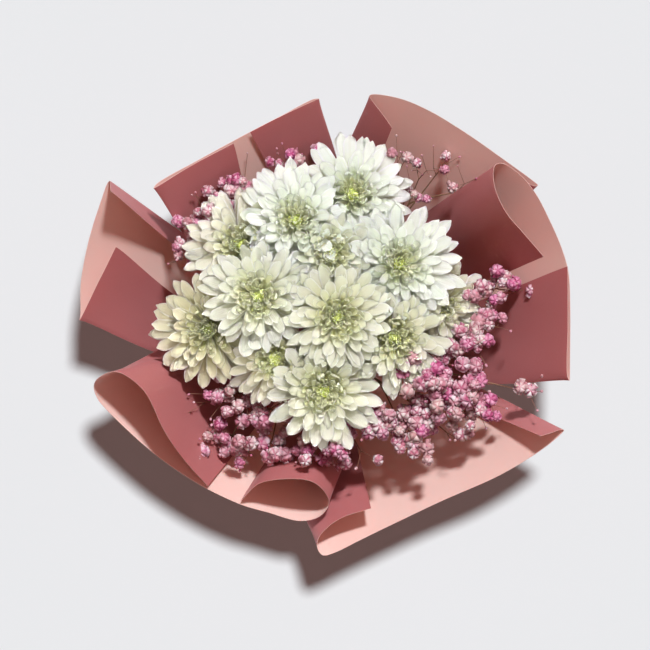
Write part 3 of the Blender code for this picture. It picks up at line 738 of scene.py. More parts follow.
def growPetals(rng, points, heads, head):
    # each petal's places, and its tint, green, cream and fade-and-shade shares, the last partly painted shade
    for i in range(bloom["quills"]):
        turn, path, petal, share = quill(rng, head, i)
        green = mix(*bloom["quillGreen"], share) * mix(0.8, 1.0, head["green"])
        yield shapePetal(points, head, turn, path, petal), (rng.random(), green, head["cream"], head["fadeAndShade"])
    for i in range(bloom["petals"] + bloom["strays"]):
        turn, path, petal, age = ray(rng, heads, head, i % bloom["petals"])
        if i >= bloom["petals"]:
            turn += rng.uniform(1.0, 5.0)
            petal["width"] *= 0.5
        green = head["green"] * mix(*bloom["rayGreen"], smooth(age * 2.2))
        yield shapePetal(points, head, turn, path, petal), (rng.random(), green, head["cream"], head["fadeAndShade"])


def petalLook():
    look = Finish("white_petal", Roughness=0.5, Subsurface_Weight=0.75, Subsurface_Scale=0.0026,
                  Subsurface_Radius=(0.9, 1.0, 0.75), Sheen_Weight=0.1, Sheen_Roughness=0.5)
    tint, green, cream, fadeAndShade = look.tones()
    side, along = look.pattern("petal")
    spread = (side * 2.0 - 1.0).maths("ABSOLUTE")
    fibres = look.node("CombineXYZ", sockets={0: side * 13.0, 1: along * 1.1, 2: tint * 40.0})
    fibre = look.node("TexNoise", sockets={"Vector": fibres, "Scale": 1.0, "Detail": 3.0})
    base = look.blend((0.87, 0.98, 0.81), (0.84, 0.76, 0.48), (cream * (0.5 + 0.5 * (1 - along))).clamped())
    # the lower half of each petal turns yellow-green and a little darker: partly its own colour at the base,
    # partly painted shade where the bases lie deep among the other petals; less on the greener petals
    root = ((0.5 - along) * 2.6).clamped() * (0.62 - 0.4 * green).clamped()
    base = look.blend(base, (0.84, 0.92, 0.50), root)
    leafy = (green * (1.05 - along).clamped() ** 1.2 + (green - 0.7).clamped() * 0.8).clamped()
    base = look.blend(base, (0.98, 1.0, 0.46), leafy * 0.85)
    base = look.blend(base, (0.70, 0.76, 0.46), ((fibre - 0.48) * 2.2).clamped() * 0.6)
    base = look.blend(base, (0.97, 0.99, 0.92), tint * 0.3)
    # painted shade mixed with an older head's fading: whole heads turn dull olive, most towards the petal
    # bases
    base = look.blend(base, (0.53, 0.52, 0.25), (fadeAndShade * (1.3 - along) * 1.15).clamped())
    # painted highlight: petal edges and tips are painted whiter, as if catching the light; less on darkened
    # and green petals
    rim = ((spread * 4.0 - 2.8).clamped() + (along * 8.0 - 7.0).clamped()).clamped()
    rim = rim * (1.0 - 0.4 * fadeAndShade) * (0.8 - 0.5 * green.clamped())
    look.colour(base, (0.97, 1.0, 0.96), rim)
    look.feed("Roughness", 0.32 + 0.2 * fibre)
    look.bump(fibre, 0.5, 0.6)
    return look


def budTemplate(*rings):
    # a small closed tube along z from 0 to 1, through rings of (height, radius)
    line = np.array([(0.0, 0.0, height) for height, radius in rings])
    return meshOf(tubes([(line, np.array([radius for height, radius in rings]))]))


def placed(points, foot, way, length, width):
    # a template's points with z along way
    way = unit(np.array(way))
    across = unit(np.cross(way, (0.31, 0.87, 0.11)))
    aside = np.cross(way, across)
    return (foot + points[:, :1] * width * across + points[:, 1:2] * width * aside
            + points[:, 2:3] * length * way)


def growDisc(rng, points, head):
    # the small florets in a head's middle, and the dome they stand on
    tall = bloom["floretLength"]
    for i in range(bloom["disc"]):
        share = math.sqrt((i + 0.5) / bloom["disc"])
        out = headWay(head, i * goldenTurn + rng.normal(0, 0.08))
        radius = bloom["discRadius"] * share * head["scale"]
        top = bloom["discTop"] - bloom["discDome"] * share ** 2 + rng.normal(0, 0.35)
        foot = head["centre"] + out * radius * bloom["floretGather"] + head["axis"] * (top - tall)
        way = head["axis"] + out * (0.35 * share) + rng.normal(0, 0.08, 3)
        size = bloom["floretRadius"] * rng.uniform(0.85, 1.2)
        yield placed(points, foot, way, tall, size), (rng.random(), share, head["cream"], 1.0)
    base = head["centre"] + head["axis"] * bloom["domeFoot"]
    domeLength = bloom["discTop"] - bloom["domeDrop"]
    dome = placed(points, base, head["axis"], domeLength, bloom["discRadius"] * 1.05)
    yield dome, (0.0, 0.0, 0.0, 1.0)


def discLook():
    look = Finish("disc_floret", Roughness=0.5, Subsurface_Weight=0.3, Subsurface_Scale=0.001,
                  Subsurface_Radius=(1.0, 1.0, 0.5))
    tint, rim, *_ = look.tones()
    base = look.blend((0.82, 0.90, 0.30), (0.95, 0.99, 0.62), (tint * 0.7 + rim * 0.5).clamped())
    # painted shade: dark specks on the florets stand for the shade in the gaps between them
    gaps = (look.speckle(700.0) - 0.52).clamped() * 3.0
    look.colour(base, (0.26, 0.30, 0.05), gaps)
    return look


def growCalyx(rng, points, head):
    # the small green bracts that hug a head from below, in two rows
    for i in range(bloom["bracts"]):
        outer = i % 2
        turn = 2 * math.pi * i / bloom["bracts"] + rng.normal(0, 0.05)
        lower = np.array((0.0, bloom["bractDrop"] * outer))
        loose = np.array((rng.normal(0, 0.4), rng.normal(0, 0.5)))
        path = (bloom["bractFoot"] - lower, bloom["bractBend"] - lower, bloom["bractTips"][outer] + loose)
        petal = petalVariety(rng, bloom["bractWidth"], cup=-0.25, thickness=0.4, wave=0.0, sway=0.0, curl=0.0)
        yield shapePetal(points, head, turn, path, petal), (rng.random(), 0.5, 0.0, 1.0)


def bractLook():
    look = Finish("green_bract", Roughness=0.6)
    along = look.pattern("petal")[1]
    base = look.blend((0.16, 0.27, 0.07), (0.30, 0.40, 0.17), (along * 1.3 - 0.4).clamped())
    look.colour(base, (0.10, 0.18, 0.04), look.speckle(500.0) * 0.6)
    return look


def addBlooms():
    petal, petalFinish = petalTemplate(10, 4), petalLook()
    floret, floretFinish = budTemplate((0.0, 0.7), (0.55, 0.8), (0.85, 1.0), (1.0, 0.75)), discLook()
    bract, bractFinish = petalTemplate(4, 2), bractLook()
    heads = [headFrame(number) for number in range(1, len(blooms) + 1)]
    for number, head in enumerate(heads, 1):
        name = head["name"]
        rays = growPetals(np.random.default_rng(100 + number), meshPoints(petal), heads, head)
        addShapes(name + "_rays", petal, rays, petalFinish, "petals", [name + "_petals"], 60)
        florets = growDisc(np.random.default_rng(300 + number), meshPoints(floret), head)
        addShapes(name + "_disc", floret, florets, floretFinish, "disc_florets", [name + "_heart"])
        bracts = growCalyx(np.random.default_rng(500 + number), meshPoints(bract), head)
        addShapes(name + "_bracts", bract, bracts, bractFinish, "stem", (), 60)
    print("blooms:", len(heads), "heads of", bloom["petals"], "petals")
    return heads


# stems, twine and leaves

stalk = dict(
    turnPerMm=0.05,
    tieHeight=115.0,
    radius=2.2,
    headBend=88.0,
    calyx=((0.0, 5.2), (1.0, 5.9), (2.0, 6.0), (3.6, 5.4), (5.0, 4.6), (8.0, 2.9), (12.0, 2.25)),
    jointGap=41.0,
    joint=0.35,
    step=4.0,
    ribs=8,
    ribDepth=0.10,
)


def spiralPlace(foot, height):
    turn = stalk["turnPerMm"] * (height - stalk["tieHeight"])
    return np.array((foot[0] - turn * foot[1], foot[1] + turn * foot[0], height))


def spiralPart(node, bend, step):
    # the lower part of the stem whose cut end the frame shows, and its place and slope at the bend
    places = cadPoints(node)
    low = places[:, 2].min()
    x, y = places[places[:, 2] < low + 0.3][:, :2].mean(axis=0)
    turn = stalk["turnPerMm"] * (low - stalk["tieHeight"])
    foot = np.array((x + turn * y, y - turn * x)) / (1 + turn * turn)
    line = [spiralPlace(foot, height) for height in np.arange(low, bend, step)]
    start = spiralPlace(foot, bend)
    return line, start, spiralPlace(foot, bend + 1.0) - start


def stemLine(head):
    end = head["calyx"] - head["axis"] * stalk["calyx"][-1][0]
    bend = head["calyx"][2] - stalk["headBend"]
    line, start, slope = spiralPart(head["name"] + "_stem", bend, stalk["step"])
    reach = end[2] - bend
    return np.vstack((line, hermite(start, slope * reach, end, head["axis"] * reach, 18)))


def stemLook():
    look = Finish("green_stem", Roughness=0.5, Subsurface_Weight=0.1, Subsurface_Scale=0.001)
    height = look.place().split("XYZ")[2]
    streaks = look.speckle(420.0, 3.0, (1.0, 1.0, 0.06))
    base = look.blend((0.17, 0.27, 0.07), (0.27, 0.38, 0.13), streaks)
    base = look.blend(base, (0.33, 0.30, 0.14), (1 - height * 22.0).clamped() * 0.7)
    look.colour(base, (0.09, 0.15, 0.04), (look.speckle(60.0) - 0.5).clamped() * 1.5)
    look.bump(streaks, 0.3, 0.3)
    return look


def addStems(heads):
    look = stemLook()
    pith = Finish("cut_pith", Roughness=0.8)
    pith.colour((0.62, 0.62, 0.36), (0.42, 0.44, 0.20), pith.speckle(900.0))
    depths, flares = zip(*reversed(stalk["calyx"][:-1]))
    for number, head in enumerate(heads, 1):
        line = stemLine(head)
        rng = np.random.default_rng(700 + number)
        phase = rng.uniform(0, stalk["jointGap"])
        joints = np.exp(-((line[:, 2] + phase) % stalk["jointGap"] - 8.0) ** 2 / 5.0)
        radii = stalk["radius"] * (1 - 0.02 * rng.random()) + stalk["joint"] * joints
        line = np.vstack((line, [head["calyx"] - head["axis"] * depth for depth in depths]))
        bm = tubes([(line, np.hstack((radii, flares)))], stalk["ribs"], stalk["ribDepth"])
        for face in bm.faces:
            face.material_index = int(max(vert.co.z for vert in face.verts) < 0.01)  # the cut end
        node = head["name"] + "_stem"
        finished(node + "_ribbed", bm, (look, pith), "stem", [node], 50)
    print("stems:", len(heads))


twine = dict(
    strand=0.42,
    apart=0.36,
    turns=2.0,
    pitch=2.2,
    twists=30,
    steps=260,
    fuzz=160,
    fuzzReach=(0.8, 1.2),
    fuzzTip=0.6,
    fuzzRadius=0.04,
)


def addTwine():
    # two plies laid round each other, on the coil the frame gives, with short loose fibres
    places = cadPoints("binding_twine")
    middle = np.hypot(places[:, 0], places[:, 1])
    radius = (middle.min() + middle.max()) / 2
    share = np.linspace(0, 1, twine["steps"])
    turn = 2 * math.pi * twine["turns"] * share
    height = stalk["tieHeight"] + twine["pitch"] * twine["turns"] * (share - 0.5)
    lines = []
    for ply in range(2):
        spin = 2 * math.pi * twine["twists"] * share + math.pi * ply
        away = radius + twine["apart"] * np.cos(spin)
        rise = height + twine["apart"] * np.sin(spin)
        lines.append((np.stack((away * np.cos(turn), away * np.sin(turn), rise), axis=1), twine["strand"]))
    rng = np.random.default_rng(41)
    for i in range(twine["fuzz"]):
        k = rng.integers(0, twine["steps"])
        root = np.array((radius * math.cos(turn[k]), radius * math.sin(turn[k]), height[k]))
        way = unit(rng.normal(0, 1, 3) + root * (0.8, 0.8, 0.0) / radius)
        bend = root + way * rng.uniform(*twine["fuzzReach"])
        tip = bend + unit(way + rng.normal(0, 0.4, 3)) * twine["fuzzTip"]
        lines.append((np.array((root, bend, tip)), twine["fuzzRadius"]))
    look = Finish("jute", Roughness=0.9)
    fibre = look.speckle(1500.0, 3.0)
    look.colour((0.36, 0.25, 0.13), (0.58, 0.45, 0.27), fibre)
    finished("binding_twine_plies", tubes(lines), (look,), "twine", ["binding_twine"])
    print("twine: two plies,", twine["fuzz"], "fibres")


foliage = dict(
    length=44.0,
    rise=32.0,
    droop=16.0,
    cup=0.22,
    start=2.0,
    thickness=0.35,
    vein=0.35,
    veins=40,
    wave=0.8,
    waves=13,
    sway=2.0,
    sweep=2.5,
    outline=((0.0, 1.1), (0.12, 1.2), (0.22, 3.0), (0.30, 9.5), (0.37, 10.5), (0.44, 6.0), (0.50, 6.4),
             (0.58, 12.6), (0.66, 13.2), (0.73, 8.2), (0.80, 8.6), (0.87, 8.4), (0.94, 5.0), (1.0, 0.8)),
)

# Each leaf: the head whose stem it stands on, its height, and the angle it points.
leaves = ((8, 238, 188), (1, 246, 84), (5, 244, 38), (3, 240, 130), (12, 240, 8))


def leafLook():
    look = Finish("chrysanthemum_leaf", Roughness=0.55, Subsurface_Weight=0.15, Subsurface_Scale=0.001)
    side, along = look.pattern("leaf")
    spread = (side * 2.0 - 1.0).maths("ABSOLUTE")
    veins = ((along - spread * 0.22) * 44.0).maths("SINE")
    vein = ((veins - 0.86) * 6.0).clamped() * 0.6 + ((0.09 - spread) * 14.0).clamped()
    mottle = look.speckle(120.0, 3.0)
    base = look.blend((0.06, 0.13, 0.035), (0.12, 0.21, 0.06), mottle)
    look.colour(base, (0.30, 0.40, 0.17), vein.clamped() * 0.6)
    look.bump(mottle * 0.4 - vein * 0.6, 0.5, 0.6)
    return look


def leafSurface(outline, number, root, angle):
    out = polar(1.0, math.radians(angle))
    across = np.array((-out[1], out[0], 0.0))
    rise = math.radians(foliage["rise"])
    last = len(outline) - 1

    def place(along, over):
        share, half, _ = outline[round(along * last)]
        side = 2 * over - 1
        reach = foliage["start"] + share * foliage["length"] * math.cos(rise)
        reach -= foliage["sweep"] * side ** 2 * share
        climb = share * foliage["length"] * math.sin(rise) - foliage["droop"] * share * share
        veined = foliage["vein"] * math.cos(share * foliage["veins"])
        climb += abs(side) * half * foliage["cup"] + veined * side ** 2
        climb += foliage["wave"] * math.sin(share * foliage["waves"] + number) * side
        sway = foliage["sway"] * math.sin(number * 2.4) * share ** 2
        return Vector(root + out * reach + across * (half * side + sway) + upward * climb)

    return surface(last, 8, place, "leaf", lambda along, over: (over, along))


def addLeaves(heads):
    look = leafLook()
    outline = splineThrough([(share, half, 0.0) for share, half in foliage["outline"]], 1.0, 3)
    for number, (headNumber, height, angle) in enumerate(leaves, 1):
        line = stemLine(heads[headNumber - 1])
        root = line[np.argmin(np.abs(line[:, 2] - height))]
        shape = thickened(leafSurface(outline, number, root, angle), foliage["thickness"])
        finished(f"leaf_{number}_blade", shape, (look,), "leaf", [f"leaf_{number}"], 60)
    print("leaves:", len(leaves))


# ribbon and bow

satin = dict(
    thickness=0.28,
    width=22.0,
    bandInside=0.20,
    bandLoose=0.15,
    bandStart=0.2,
    bandTurns=1.05,
    bandOverlap=0.45,
    bandHeight=23.6,
    bandGather=1.12,
    bandFold=0.22,
    bandFolds=3.0,
    knot=(7.4, 3.9, 8.4),
    knotBlock=0.55,
    knotPleat=0.45,
    knotPleats=9.0,
    knotWaist=0.14,
    gap=0.35,
    bowOut=4.0,
    droop=0.07,
    lean=0.15,
    pinch=15.0,
    pleat=0.85,
    pleats=8.5,
    wave=0.3,
    tailCut=8.0,
    spacing=1.3,
)

# The right loop of the bow from above as (x, y, width), and its right tail as (x, y, z, width), both from the
# knot's middle. The left ones mirror them.
bowLoop = ((3.0, 2.0, 11.0), (14.0, 0.6, 15.0), (28.0, 1.2, 20.0), (38.0, -2.0, 22.0), (41.0, -8.0, 22.0),
           (36.0, -13.0, 22.0), (24.0, -12.0, 20.0), (12.0, -8.0, 15.0), (3.0, -2.4, 11.0))
bowTail = ((3.0, -1.0, -4.0, 9.0), (7.0, -5.0, -13.0, 14.0), (12.0, -12.0, -26.0, 19.0),
           (17.0, -19.0, -42.0, 21.0), (20.0, -24.0, -58.0, 21.0), (24.0, -27.0, -74.0, 21.0))


def ribbonStrip(points, across, tail):
    # a strip through the points, pleated where the knot pinches it, with a swallow-tail cut at a tail's end
    line = splineThrough(points, satin["spacing"])
    widths = line[:, 3]
    line = line[:, :3]
    tangents = np.gradient(line, axis=0)
    tangents /= np.linalg.norm(tangents, axis=1)[:, None]
    travelled = np.append(0.0, np.cumsum(np.linalg.norm(np.diff(line, axis=0), axis=1)))
    count = len(line) - 1
    across = unit(np.array(across))

    def place(along, over):
        i = round(along * count)
        side = 2 * over - 1
        normal = unit(np.cross(tangents[i], across))
        near = travelled[i] if tail else min(travelled[i], travelled[-1] - travelled[i])
        pinched = 1 - smooth(near / satin["pinch"])
        ripple = satin["pleat"] * pinched * math.cos(side * satin["pleats"])
        ripple += satin["wave"] * math.sin(travelled[i] * 0.16 + side) * (1 - pinched)
        cut = satin["tailCut"] * (1 - abs(side)) * smooth((travelled[i] / travelled[-1] - 0.8) / 0.2) * tail
        return Vector(line[i] + across * widths[i] / 2 * side + normal * ripple - tangents[i] * cut)

    strip = surface(count, 12, place, "ribbon",
                    lambda along, over: (over, travelled[round(along * count)] / satin["width"]))
    return strip, lineLength(line)


def satinLook():
    look = Finish("satin_ribbon", Roughness=0.34, Sheen_Weight=0.4, Sheen_Roughness=0.3, Anisotropic=0.5)
    side, along = look.pattern("ribbon")
    spread = (side * 2.0 - 1.0).maths("ABSOLUTE")
    weave = (along * 560.0).maths("SINE")
    threads = (side * 420.0).maths("SINE")
    base = look.blend((0.40, 0.105, 0.120), (0.50, 0.160, 0.178), look.speckle(60.0))
    look.colour(base, (0.30, 0.075, 0.085), ((spread - 0.92) * 30.0).clamped() * 0.6)
    look.feed("Roughness", 0.32 + 0.06 * weave)
    look.bump(weave * 0.5 + threads * 0.5, 0.10, 0.05)
    return look


def addBand(look, reach, middle):
    inside = reach[reach < reach.mean()].max() + satin["bandInside"]
    turns = 2 * math.pi * satin["bandTurns"]

    def place(share, over):
        turn = share * turns - math.pi / 2 - satin["bandStart"]
        up = 2 * over - 1
        phase = up * math.pi * satin["bandFolds"] + 0.9 * math.sin(turn * 3) + turn
        fold = satin["bandFold"] * math.cos(phase)
        radius = inside + satin["bandOverlap"] * smooth(share * 12 - 10.5) + fold * (1 - up ** 6)
        radius += satin["bandLoose"]
        rise = up * satin["bandHeight"] / 2 * (1 - 0.02 * math.cos(turn * 5))
        return Vector(polar(radius, turn, middle + rise))

    bm = surface(150, 16, place, "ribbon", lambda share, over: (over, share * turns))
    band = thickened(bm, satin["thickness"])
    piece = finished("ribbon_band_wrap", band, (look,), "ribbon", ["ribbon_band"], 60)


def addBow(look, front, middle):
    strips = bmesh.new()
    for side in (-1.0, 1.0):
        loop = [(side * x, front + y, middle - satin["droop"] * x, width) for x, y, width in bowLoop]
        tail = [(side * x, front + y, middle + z, width) for x, y, z, width in bowTail]
        for points, across, hangs in ((loop, upward, False), (tail, (1.0, 0.0, satin["lean"] * side), True)):
            strip, run = ribbonStrip(points, across, hangs)
            shape = meshOf(strip)
            strips.from_mesh(shape)
            bpy.data.meshes.remove(shape)
    area = surfaceArea(strips)
    strips = thickened(strips, satin["thickness"])
    piece = finished("ribbon_bow_loops", strips, (look,), "ribbon", ["ribbon_bow"], 60)


def addKnot(look, front, middle):
    bm = bmesh.new()
    bmesh.ops.create_uvsphere(bm, u_segments=40, v_segments=24, radius=1.0)
    paint(bm, "ribbon", lambda x, y, z: (x * 0.5 + 0.5, z))
    for vert in bm.verts:
        block = [math.copysign(abs(number) ** satin["knotBlock"], number) for number in vert.co]
        pleat = satin["knotPleat"] * math.cos(block[0] * satin["knotPleats"] + 0.8 * block[2])
        x, y, z = (number * size for number, size in zip(block, satin["knot"]))
        waist = 1 - satin["knotWaist"] * (1 - block[2] ** 2)
        vert.co = Vector((x * waist, front + y + pleat * block[1], middle + z + pleat * block[2]))
    finished("ribbon_bow_knot", bm, (look,), "ribbon")


def addRibbon():
    look = satinLook()
    band = cadPoints("ribbon_band")
    reach = np.hypot(band[:, 0], band[:, 1])
    middle = (band[:, 2].min() + band[:, 2].max()) / 2
    front = -(reach.max() + satin["gap"] + satin["bowOut"])
    addBand(look, reach, middle)
    addBow(look, front, middle)
    addKnot(look, front, middle)
    print("ribbon: band, two loops, two tails and a knot")


# gypsophila

# Each sprig: how big its flowers are beside the usual size, then its clouds of flowers as
# x, y, z, half width, half depth, open flowers and buds.
sprigs = {
    "lower_left": (0.90, (-67, -54, 300, 27, 12, 14, 14), (-72, -86, 291, 18, 9, 12, 6)),
    "bottom_left": (0.95, (-43, -67, 302, 20, 10, 12, 8), (-42, -92, 296, 22, 8, 13, 6)),
    "bottom": (0.95, (-4, -93, 306, 20, 6, 9, 6), (14, -80, 312, 14, 7, 9, 4), (36, -66, 318, 18, 13, 18, 6),
               (25, -94, 300, 3, 2, 1, 2)),
    "bottom_right": (1.0, (58, -76, 310, 22, 15, 24, 9), (83, -52, 314, 20, 16, 26, 8),
                     (94, -83, 300, 3, 3, 1, 3)),
    "right_low": (0.95, (66, -32, 334, 14, 12, 12, 4), (99, -25, 316, 19, 17, 24, 8),
                  (110, -58, 306, 16, 12, 13, 9), (147, -49, 306, 3, 3, 2, 3)),
    "right": (0.95, (115, 0, 310, 17, 18, 17, 8), (130, 28, 306, 14, 10, 11, 8), (106, 30, 312, 6, 6, 3, 2)),
    "top_right": (0.70, (57, 119, 306, 5, 5, 2, 3), (62, 97, 308, 7, 8, 5, 4), (72, 112, 306, 6, 6, 1, 5),
                  (85, 115, 305, 7, 4, 2, 3), (101, 102, 304, 3, 3, 1, 2)),
    "top_left": (0.80, (-61, 101, 300, 10, 9, 8, 5), (-30, 117, 302, 10, 6, 6, 4),
                 (-12, 123, 300, 4, 3, 2, 2), (-75, 88, 300, 11, 8, 7, 6)),
    "left": (0.80, (-100, 57, 298, 8, 12, 11, 7), (-89, 76, 300, 10, 11, 11, 6)),
}

gyp = dict(
    mainRadius=(1.1, 0.7),
    cloudRadius=(0.62, 0.36),
    groupRadius=(0.34, 0.22),
    stalkRadius=(0.22, 0.16),
    bend=180.0,
    step=10.0,
    top=250.0,
    gather=0.80,
    cloudBack=8.0,
    cloudDrop=26.0,
    perGroup=3,
    groupBack=2.0,
    groupDrop=11.0,
    flowerSize=(4.4, 6.7),
    flowerScatter=(5.2, 5.2, 3.2),
    budSize=(1.5, 2.6),
    budScatter=2.4,
    budReach=(-1, 4),
    budShape=(1.7, 0.5),  # its length and radius beside its size
)

floret = dict(
    core=0.64,
    inset=0.09,
    rise=0.38,
    flare=1.20,
    flatten=0.90,
    ruffle=0.11,
    crumple=0.035,
)


def floretTemplate():
    # a double little flower of twenty ruffled petals, and which petal each of its points belongs to, if any
    bm = bmesh.new()
    bmesh.ops.create_icosphere(bm, subdivisions=1, radius=floret["core"])
    bmesh.ops.inset_individual(bm, faces=bm.faces[:], thickness=floret["inset"], depth=floret["rise"])
    mesh = meshOf(bm)
    points = meshPoints(mesh)
    raised = np.linalg.norm(points, axis=1) > floret["core"] * 1.05
    petalOf = np.full(len(points), -1)
    for face in mesh.polygons:
        corners = list(face.vertices)
        if len(corners) == 3 and raised[corners].all():
            middle = points[corners].mean(axis=0)
            points[corners] = middle + (points[corners] - middle) * floret["flare"]
            petalOf[corners] = petalOf.max() + 1
    points[:, 2] *= floret["flatten"]
    mesh.vertices.foreach_set("co", points.ravel())
    return mesh, petalOf


def ruffledFloret(rng, points, petalOf):
    # the template with each petal longer or shorter, and how pale each point is; the pits between the petals
    # get nought, which the finish paints deep magenta, partly the flower's own deeper pink and partly painted
    # shade
    reach = np.append(rng.normal(0, floret["ruffle"], petalOf.max() + 1), 0.0)
    tip = np.append(rng.uniform(0.25, 1.15, petalOf.max() + 1), 0.0)
    spin = rng.uniform(0, 2 * math.pi)
    ruffled = points * (1 + reach[petalOf])[:, None] + rng.normal(0, floret["crumple"], points.shape)
    cos, sin = math.cos(spin), math.sin(spin)
    return ruffled @ np.array(((cos, sin, 0.0), (-sin, cos, 0.0), upward)), tip[petalOf]


def growSprig(rng, node, usual, clouds, flowerPoints, petalOf, budPoints):
    # the stems of one sprig, and where its flowers and buds stand
    straight, start, slope = spiralPart(node, gyp["bend"], gyp["step"])
    middle = np.mean([cloud[:2] for cloud in clouds], axis=0)
    top = np.array((*middle * gyp["gather"], gyp["top"]))
    main = hermite(start, slope * (top[2] - gyp["bend"]), top, (top - start) * (1.0, 1.0, 0.8), 14)
    lines = []
    flowers = []
    buds = []

    def branch(line, radii):
        lines.append((line, np.linspace(*gyp[radii], len(line))))

    branch(np.vstack((straight, main)), "mainRadius")
    for number, (x, y, z, wide, deep, opened, closed) in enumerate(clouds):
        fork = main[round(mix(5, len(main) - 1, (number + 1) / len(clouds)))]
        centre = np.array((x, y, z), float)
        out = unit(np.array((x, y, 0.0)))
        joint = centre - out * gyp["cloudBack"] - upward * gyp["cloudDrop"]
        way = unit(slope + out * 0.3) * np.linalg.norm(joint - fork)
        branch(hermite(fork, way * 0.7, joint, (out * 0.4 + upward) * 14.0, 12), "cloudRadius")
        groups = max(math.ceil((opened + closed) / gyp["perGroup"]), 1)
        kinds = [True] * opened + [False] * closed
        rng.shuffle(kinds)
        for group in range(groups):
            share = math.sqrt((group + 0.5) / groups)
            turn = group * goldenTurn + rng.uniform(0, 1)
            spot = centre + (wide * share * math.cos(turn), deep * share * math.sin(turn), rng.normal(-2, 5))
            hub = mix(joint, spot, 0.55) - upward * 2.0
            hub = mix(hub, spot - out * gyp["groupBack"] - upward * gyp["groupDrop"], 0.7)
            way = unit(hub - joint) * 6.0 + upward * 3.0
            branch(hermite(joint, upward * 9.0, hub, way, 6), "groupRadius")
            for isOpen in kinds[group::groups]:
                tip = spot + rng.normal(0, gyp["flowerScatter"])
                if not isOpen:
                    tip = tip + out * rng.uniform(*gyp["budReach"]) + rng.normal(0, gyp["budScatter"], 3)
                size = rng.uniform(*gyp["flowerSize" if isOpen else "budSize"]) * usual
                way = unit(unit(tip - hub) + upward * 0.9 + rng.normal(0, 0.25, 3))
                base = tip - way * size * 0.8
                branch(hermite(hub, unit(base - hub) * 4.0 + upward * 3.0, base, way * 5.0, 5), "stalkRadius")
                tone = np.empty((len(flowerPoints if isOpen else budPoints), 4))
                tone[:] = (rng.random(), 0.5, rng.random(), 1.0)
                if isOpen:
                    ruffled, tone[:, 1] = ruffledFloret(rng, flowerPoints, petalOf)
                    flowers.append((placed(ruffled, tip, way, size, size), tone))
                else:
                    longer, wider = gyp["budShape"]
                    buds.append((placed(budPoints, base, way, size * longer, size * wider), tone))
    return lines, flowers, buds


def flowerLook():
    look = Finish("gypsophila_flower", Roughness=0.6, Subsurface_Weight=0.5, Subsurface_Scale=0.0012,
                  Subsurface_Radius=(1.0, 0.55, 0.75))
    tint, pale, warm, _ = look.tones()
    deep = look.blend((0.46, 0.035, 0.18), (0.56, 0.16, 0.24), tint)
    edge = look.blend((0.87, 0.37, 0.58), (0.98, 0.84, 0.87), (tint * 1.5 - 0.1).clamped())
    crumple = look.speckle(800.0)
    shade = pale * 1.1 - 0.08 + (crumple - 0.5) * 0.8 + (look.speckle(190.0, 1.0) - 0.5) * 1.8
    # the pits between petals go deep magenta: partly the flower's own deeper pink, partly painted shade in
    # the recesses
    base = look.blend(deep, edge, shade.clamped())
    look.colour(base, (0.66, 0.46, 0.38), (warm ** 2) * 0.5)
    look.bump(crumple, 0.4, 0.3)
    return look


def twigLook():
    look = Finish("gypsophila_stem", Roughness=0.6)
    height = look.place().split("XYZ")[2]
    base = look.blend((0.22, 0.26, 0.10), (0.46, 0.19, 0.15), (height * 8.0 - 1.55).clamped())
    look.colour(base, (0.20, 0.10, 0.06), look.speckle(260.0) * 0.7)
    return look


def addGypsophila():
    look = flowerLook()
    twig = twigLook()
    flower, petalOf = floretTemplate()
    bud = budTemplate((0.0, 0.35), (0.25, 0.9), (0.6, 1.0), (0.85, 0.75), (1.0, 0.3))
    shapes = meshPoints(flower), petalOf, meshPoints(bud)
    total = 0
    for number, (name, (usual, *clouds)) in enumerate(sprigs.items()):
        node = "gypsophila_" + name
        lines, flowers, buds = growSprig(np.random.default_rng(900 + number), node, usual, clouds, *shapes)
        finished(node + "_stems", tubes(lines), (twig,), "gypsophila", [node])
        addShapes(node + "_flowers", flower, flowers, look, "gypsophila")
        addShapes(node + "_buds", bud, buds, look, "gypsophila")
        total += len(flowers) + len(buds)
    print("gypsophila:", total, "flowers and buds on", len(sprigs), "sprigs")


# stage: floor, light and camera

studio = dict(
    floorWidth=9.0,
    floorColour=(0.765, 0.785, 0.80),
    floorMottle=(0.785, 0.805, 0.82),
    skyColour=(1.0, 0.67, 0.59),
    skyPower=0.15,
    cameraHeight=8.0,
    viewWidth=0.468,
    viewLevel=0.30,
)

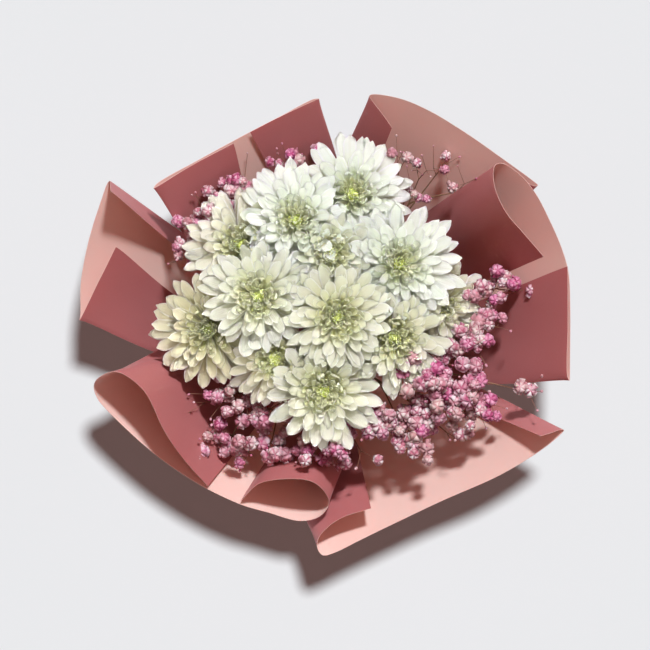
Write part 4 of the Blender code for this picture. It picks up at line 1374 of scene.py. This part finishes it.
# Each sun: elevation, turn, size, power, colour, and how the names of the pieces it lights start. The floor's
# stands high and keeps the shadow close, each top sheet has its own, and the wide ones fill the shade.
white = (1.0, 1.0, 1.0)
suns = dict(
    flowers=(62.0, 75.0, 22.0, 3.25, white, ("bloom", "gypsophila", "leaf", "binding", "ribbon")),
    sheets=(51.0, 75.0, 7.0, 3.2, white, ("paper_left", "paper_right", "paper_bottom")),
    topLeft=(64.0, 75.0, 7.0, 3.7, white, ("paper_top_left",)),
    topRight=(64.0, 75.0, 7.0, 2.5, white, ("paper_top_right",)),
    floor=(83.2, 69.0, 2.4, 2.96, (0.96, 1.0, 1.015), ("floor",)),
    fill=(90.0, 75.0, 170.0, 0.60, (1.0, 0.98, 0.96), ("leaf", "binding", "ribbon")),
    sheetFill=(90.0, 75.0, 170.0, 0.75, (1.0, 0.52, 0.45), ("paper",)),
    headFill=(90.0, 75.0, 170.0, 1.15, (0.94, 1.0, 0.93), ("bloom",)),
    front=(30.0, 255.0, 110.0, 0.90, (0.94, 1.0, 0.96), ("bloom", "leaf", "binding", "ribbon")),
)


def addSun(name):
    elevation, turn, size, power, colour, starts = suns[name]
    sun = bpy.data.lights.new(name, "SUN")
    sun.energy = power
    sun.color = colour
    sun.angle = math.radians(size)
    lamp = linked(name + "_sun", sun)
    rise = math.radians(elevation)
    towards = polar(math.cos(rise), math.radians(turn), math.sin(rise))
    lamp.rotation_euler = Vector(towards).to_track_quat("Z", "Y").to_euler()
    lit = bpy.data.collections.new(name + "_lit")
    for item in bpy.context.scene.objects:
        if item.type == "MESH" and item.name.startswith(starts):
            lit.objects.link(item)
    lamp.light_linking.receiver_collection = lit


def addStudio():
    bm = bmesh.new()
    bmesh.ops.create_grid(bm, x_segments=1, y_segments=1, size=studio["floorWidth"] / 2)
    mesh = meshOf(bm, "floor")
    pale = Finish("pale_floor", Roughness=0.9, Specular_IOR_Level=0.1)
    pale.colour(studio["floorColour"], studio["floorMottle"], pale.speckle(3.0))
    mesh.materials.append(pale.material)
    linked("floor", mesh)
    for name in suns:
        addSun(name)

    world = bpy.data.worlds.new("studio")
    world.use_nodes = True
    sky = world.node_tree.nodes["Background"]
    sky.inputs["Color"].default_value = (*studio["skyColour"], 1.0)
    sky.inputs["Strength"].default_value = studio["skyPower"]
    bpy.context.scene.world = world
    bpy.context.scene.view_settings.view_transform = "Standard"

    lens = bpy.data.cameras.new("above")
    lens.lens = lens.sensor_width * (studio["cameraHeight"] - studio["viewLevel"]) / studio["viewWidth"]
    lens.clip_end = 20.0
    camera = linked("above", lens)
    camera.location = (0.0, 0.0, studio["cameraHeight"])
    bpy.context.scene.camera = camera
    print("studio ready")


addPaper()
addRibbon()
heads = addBlooms()
addStems(heads)
addLeaves(heads)
addTwine()
addGypsophila()
addStudio()
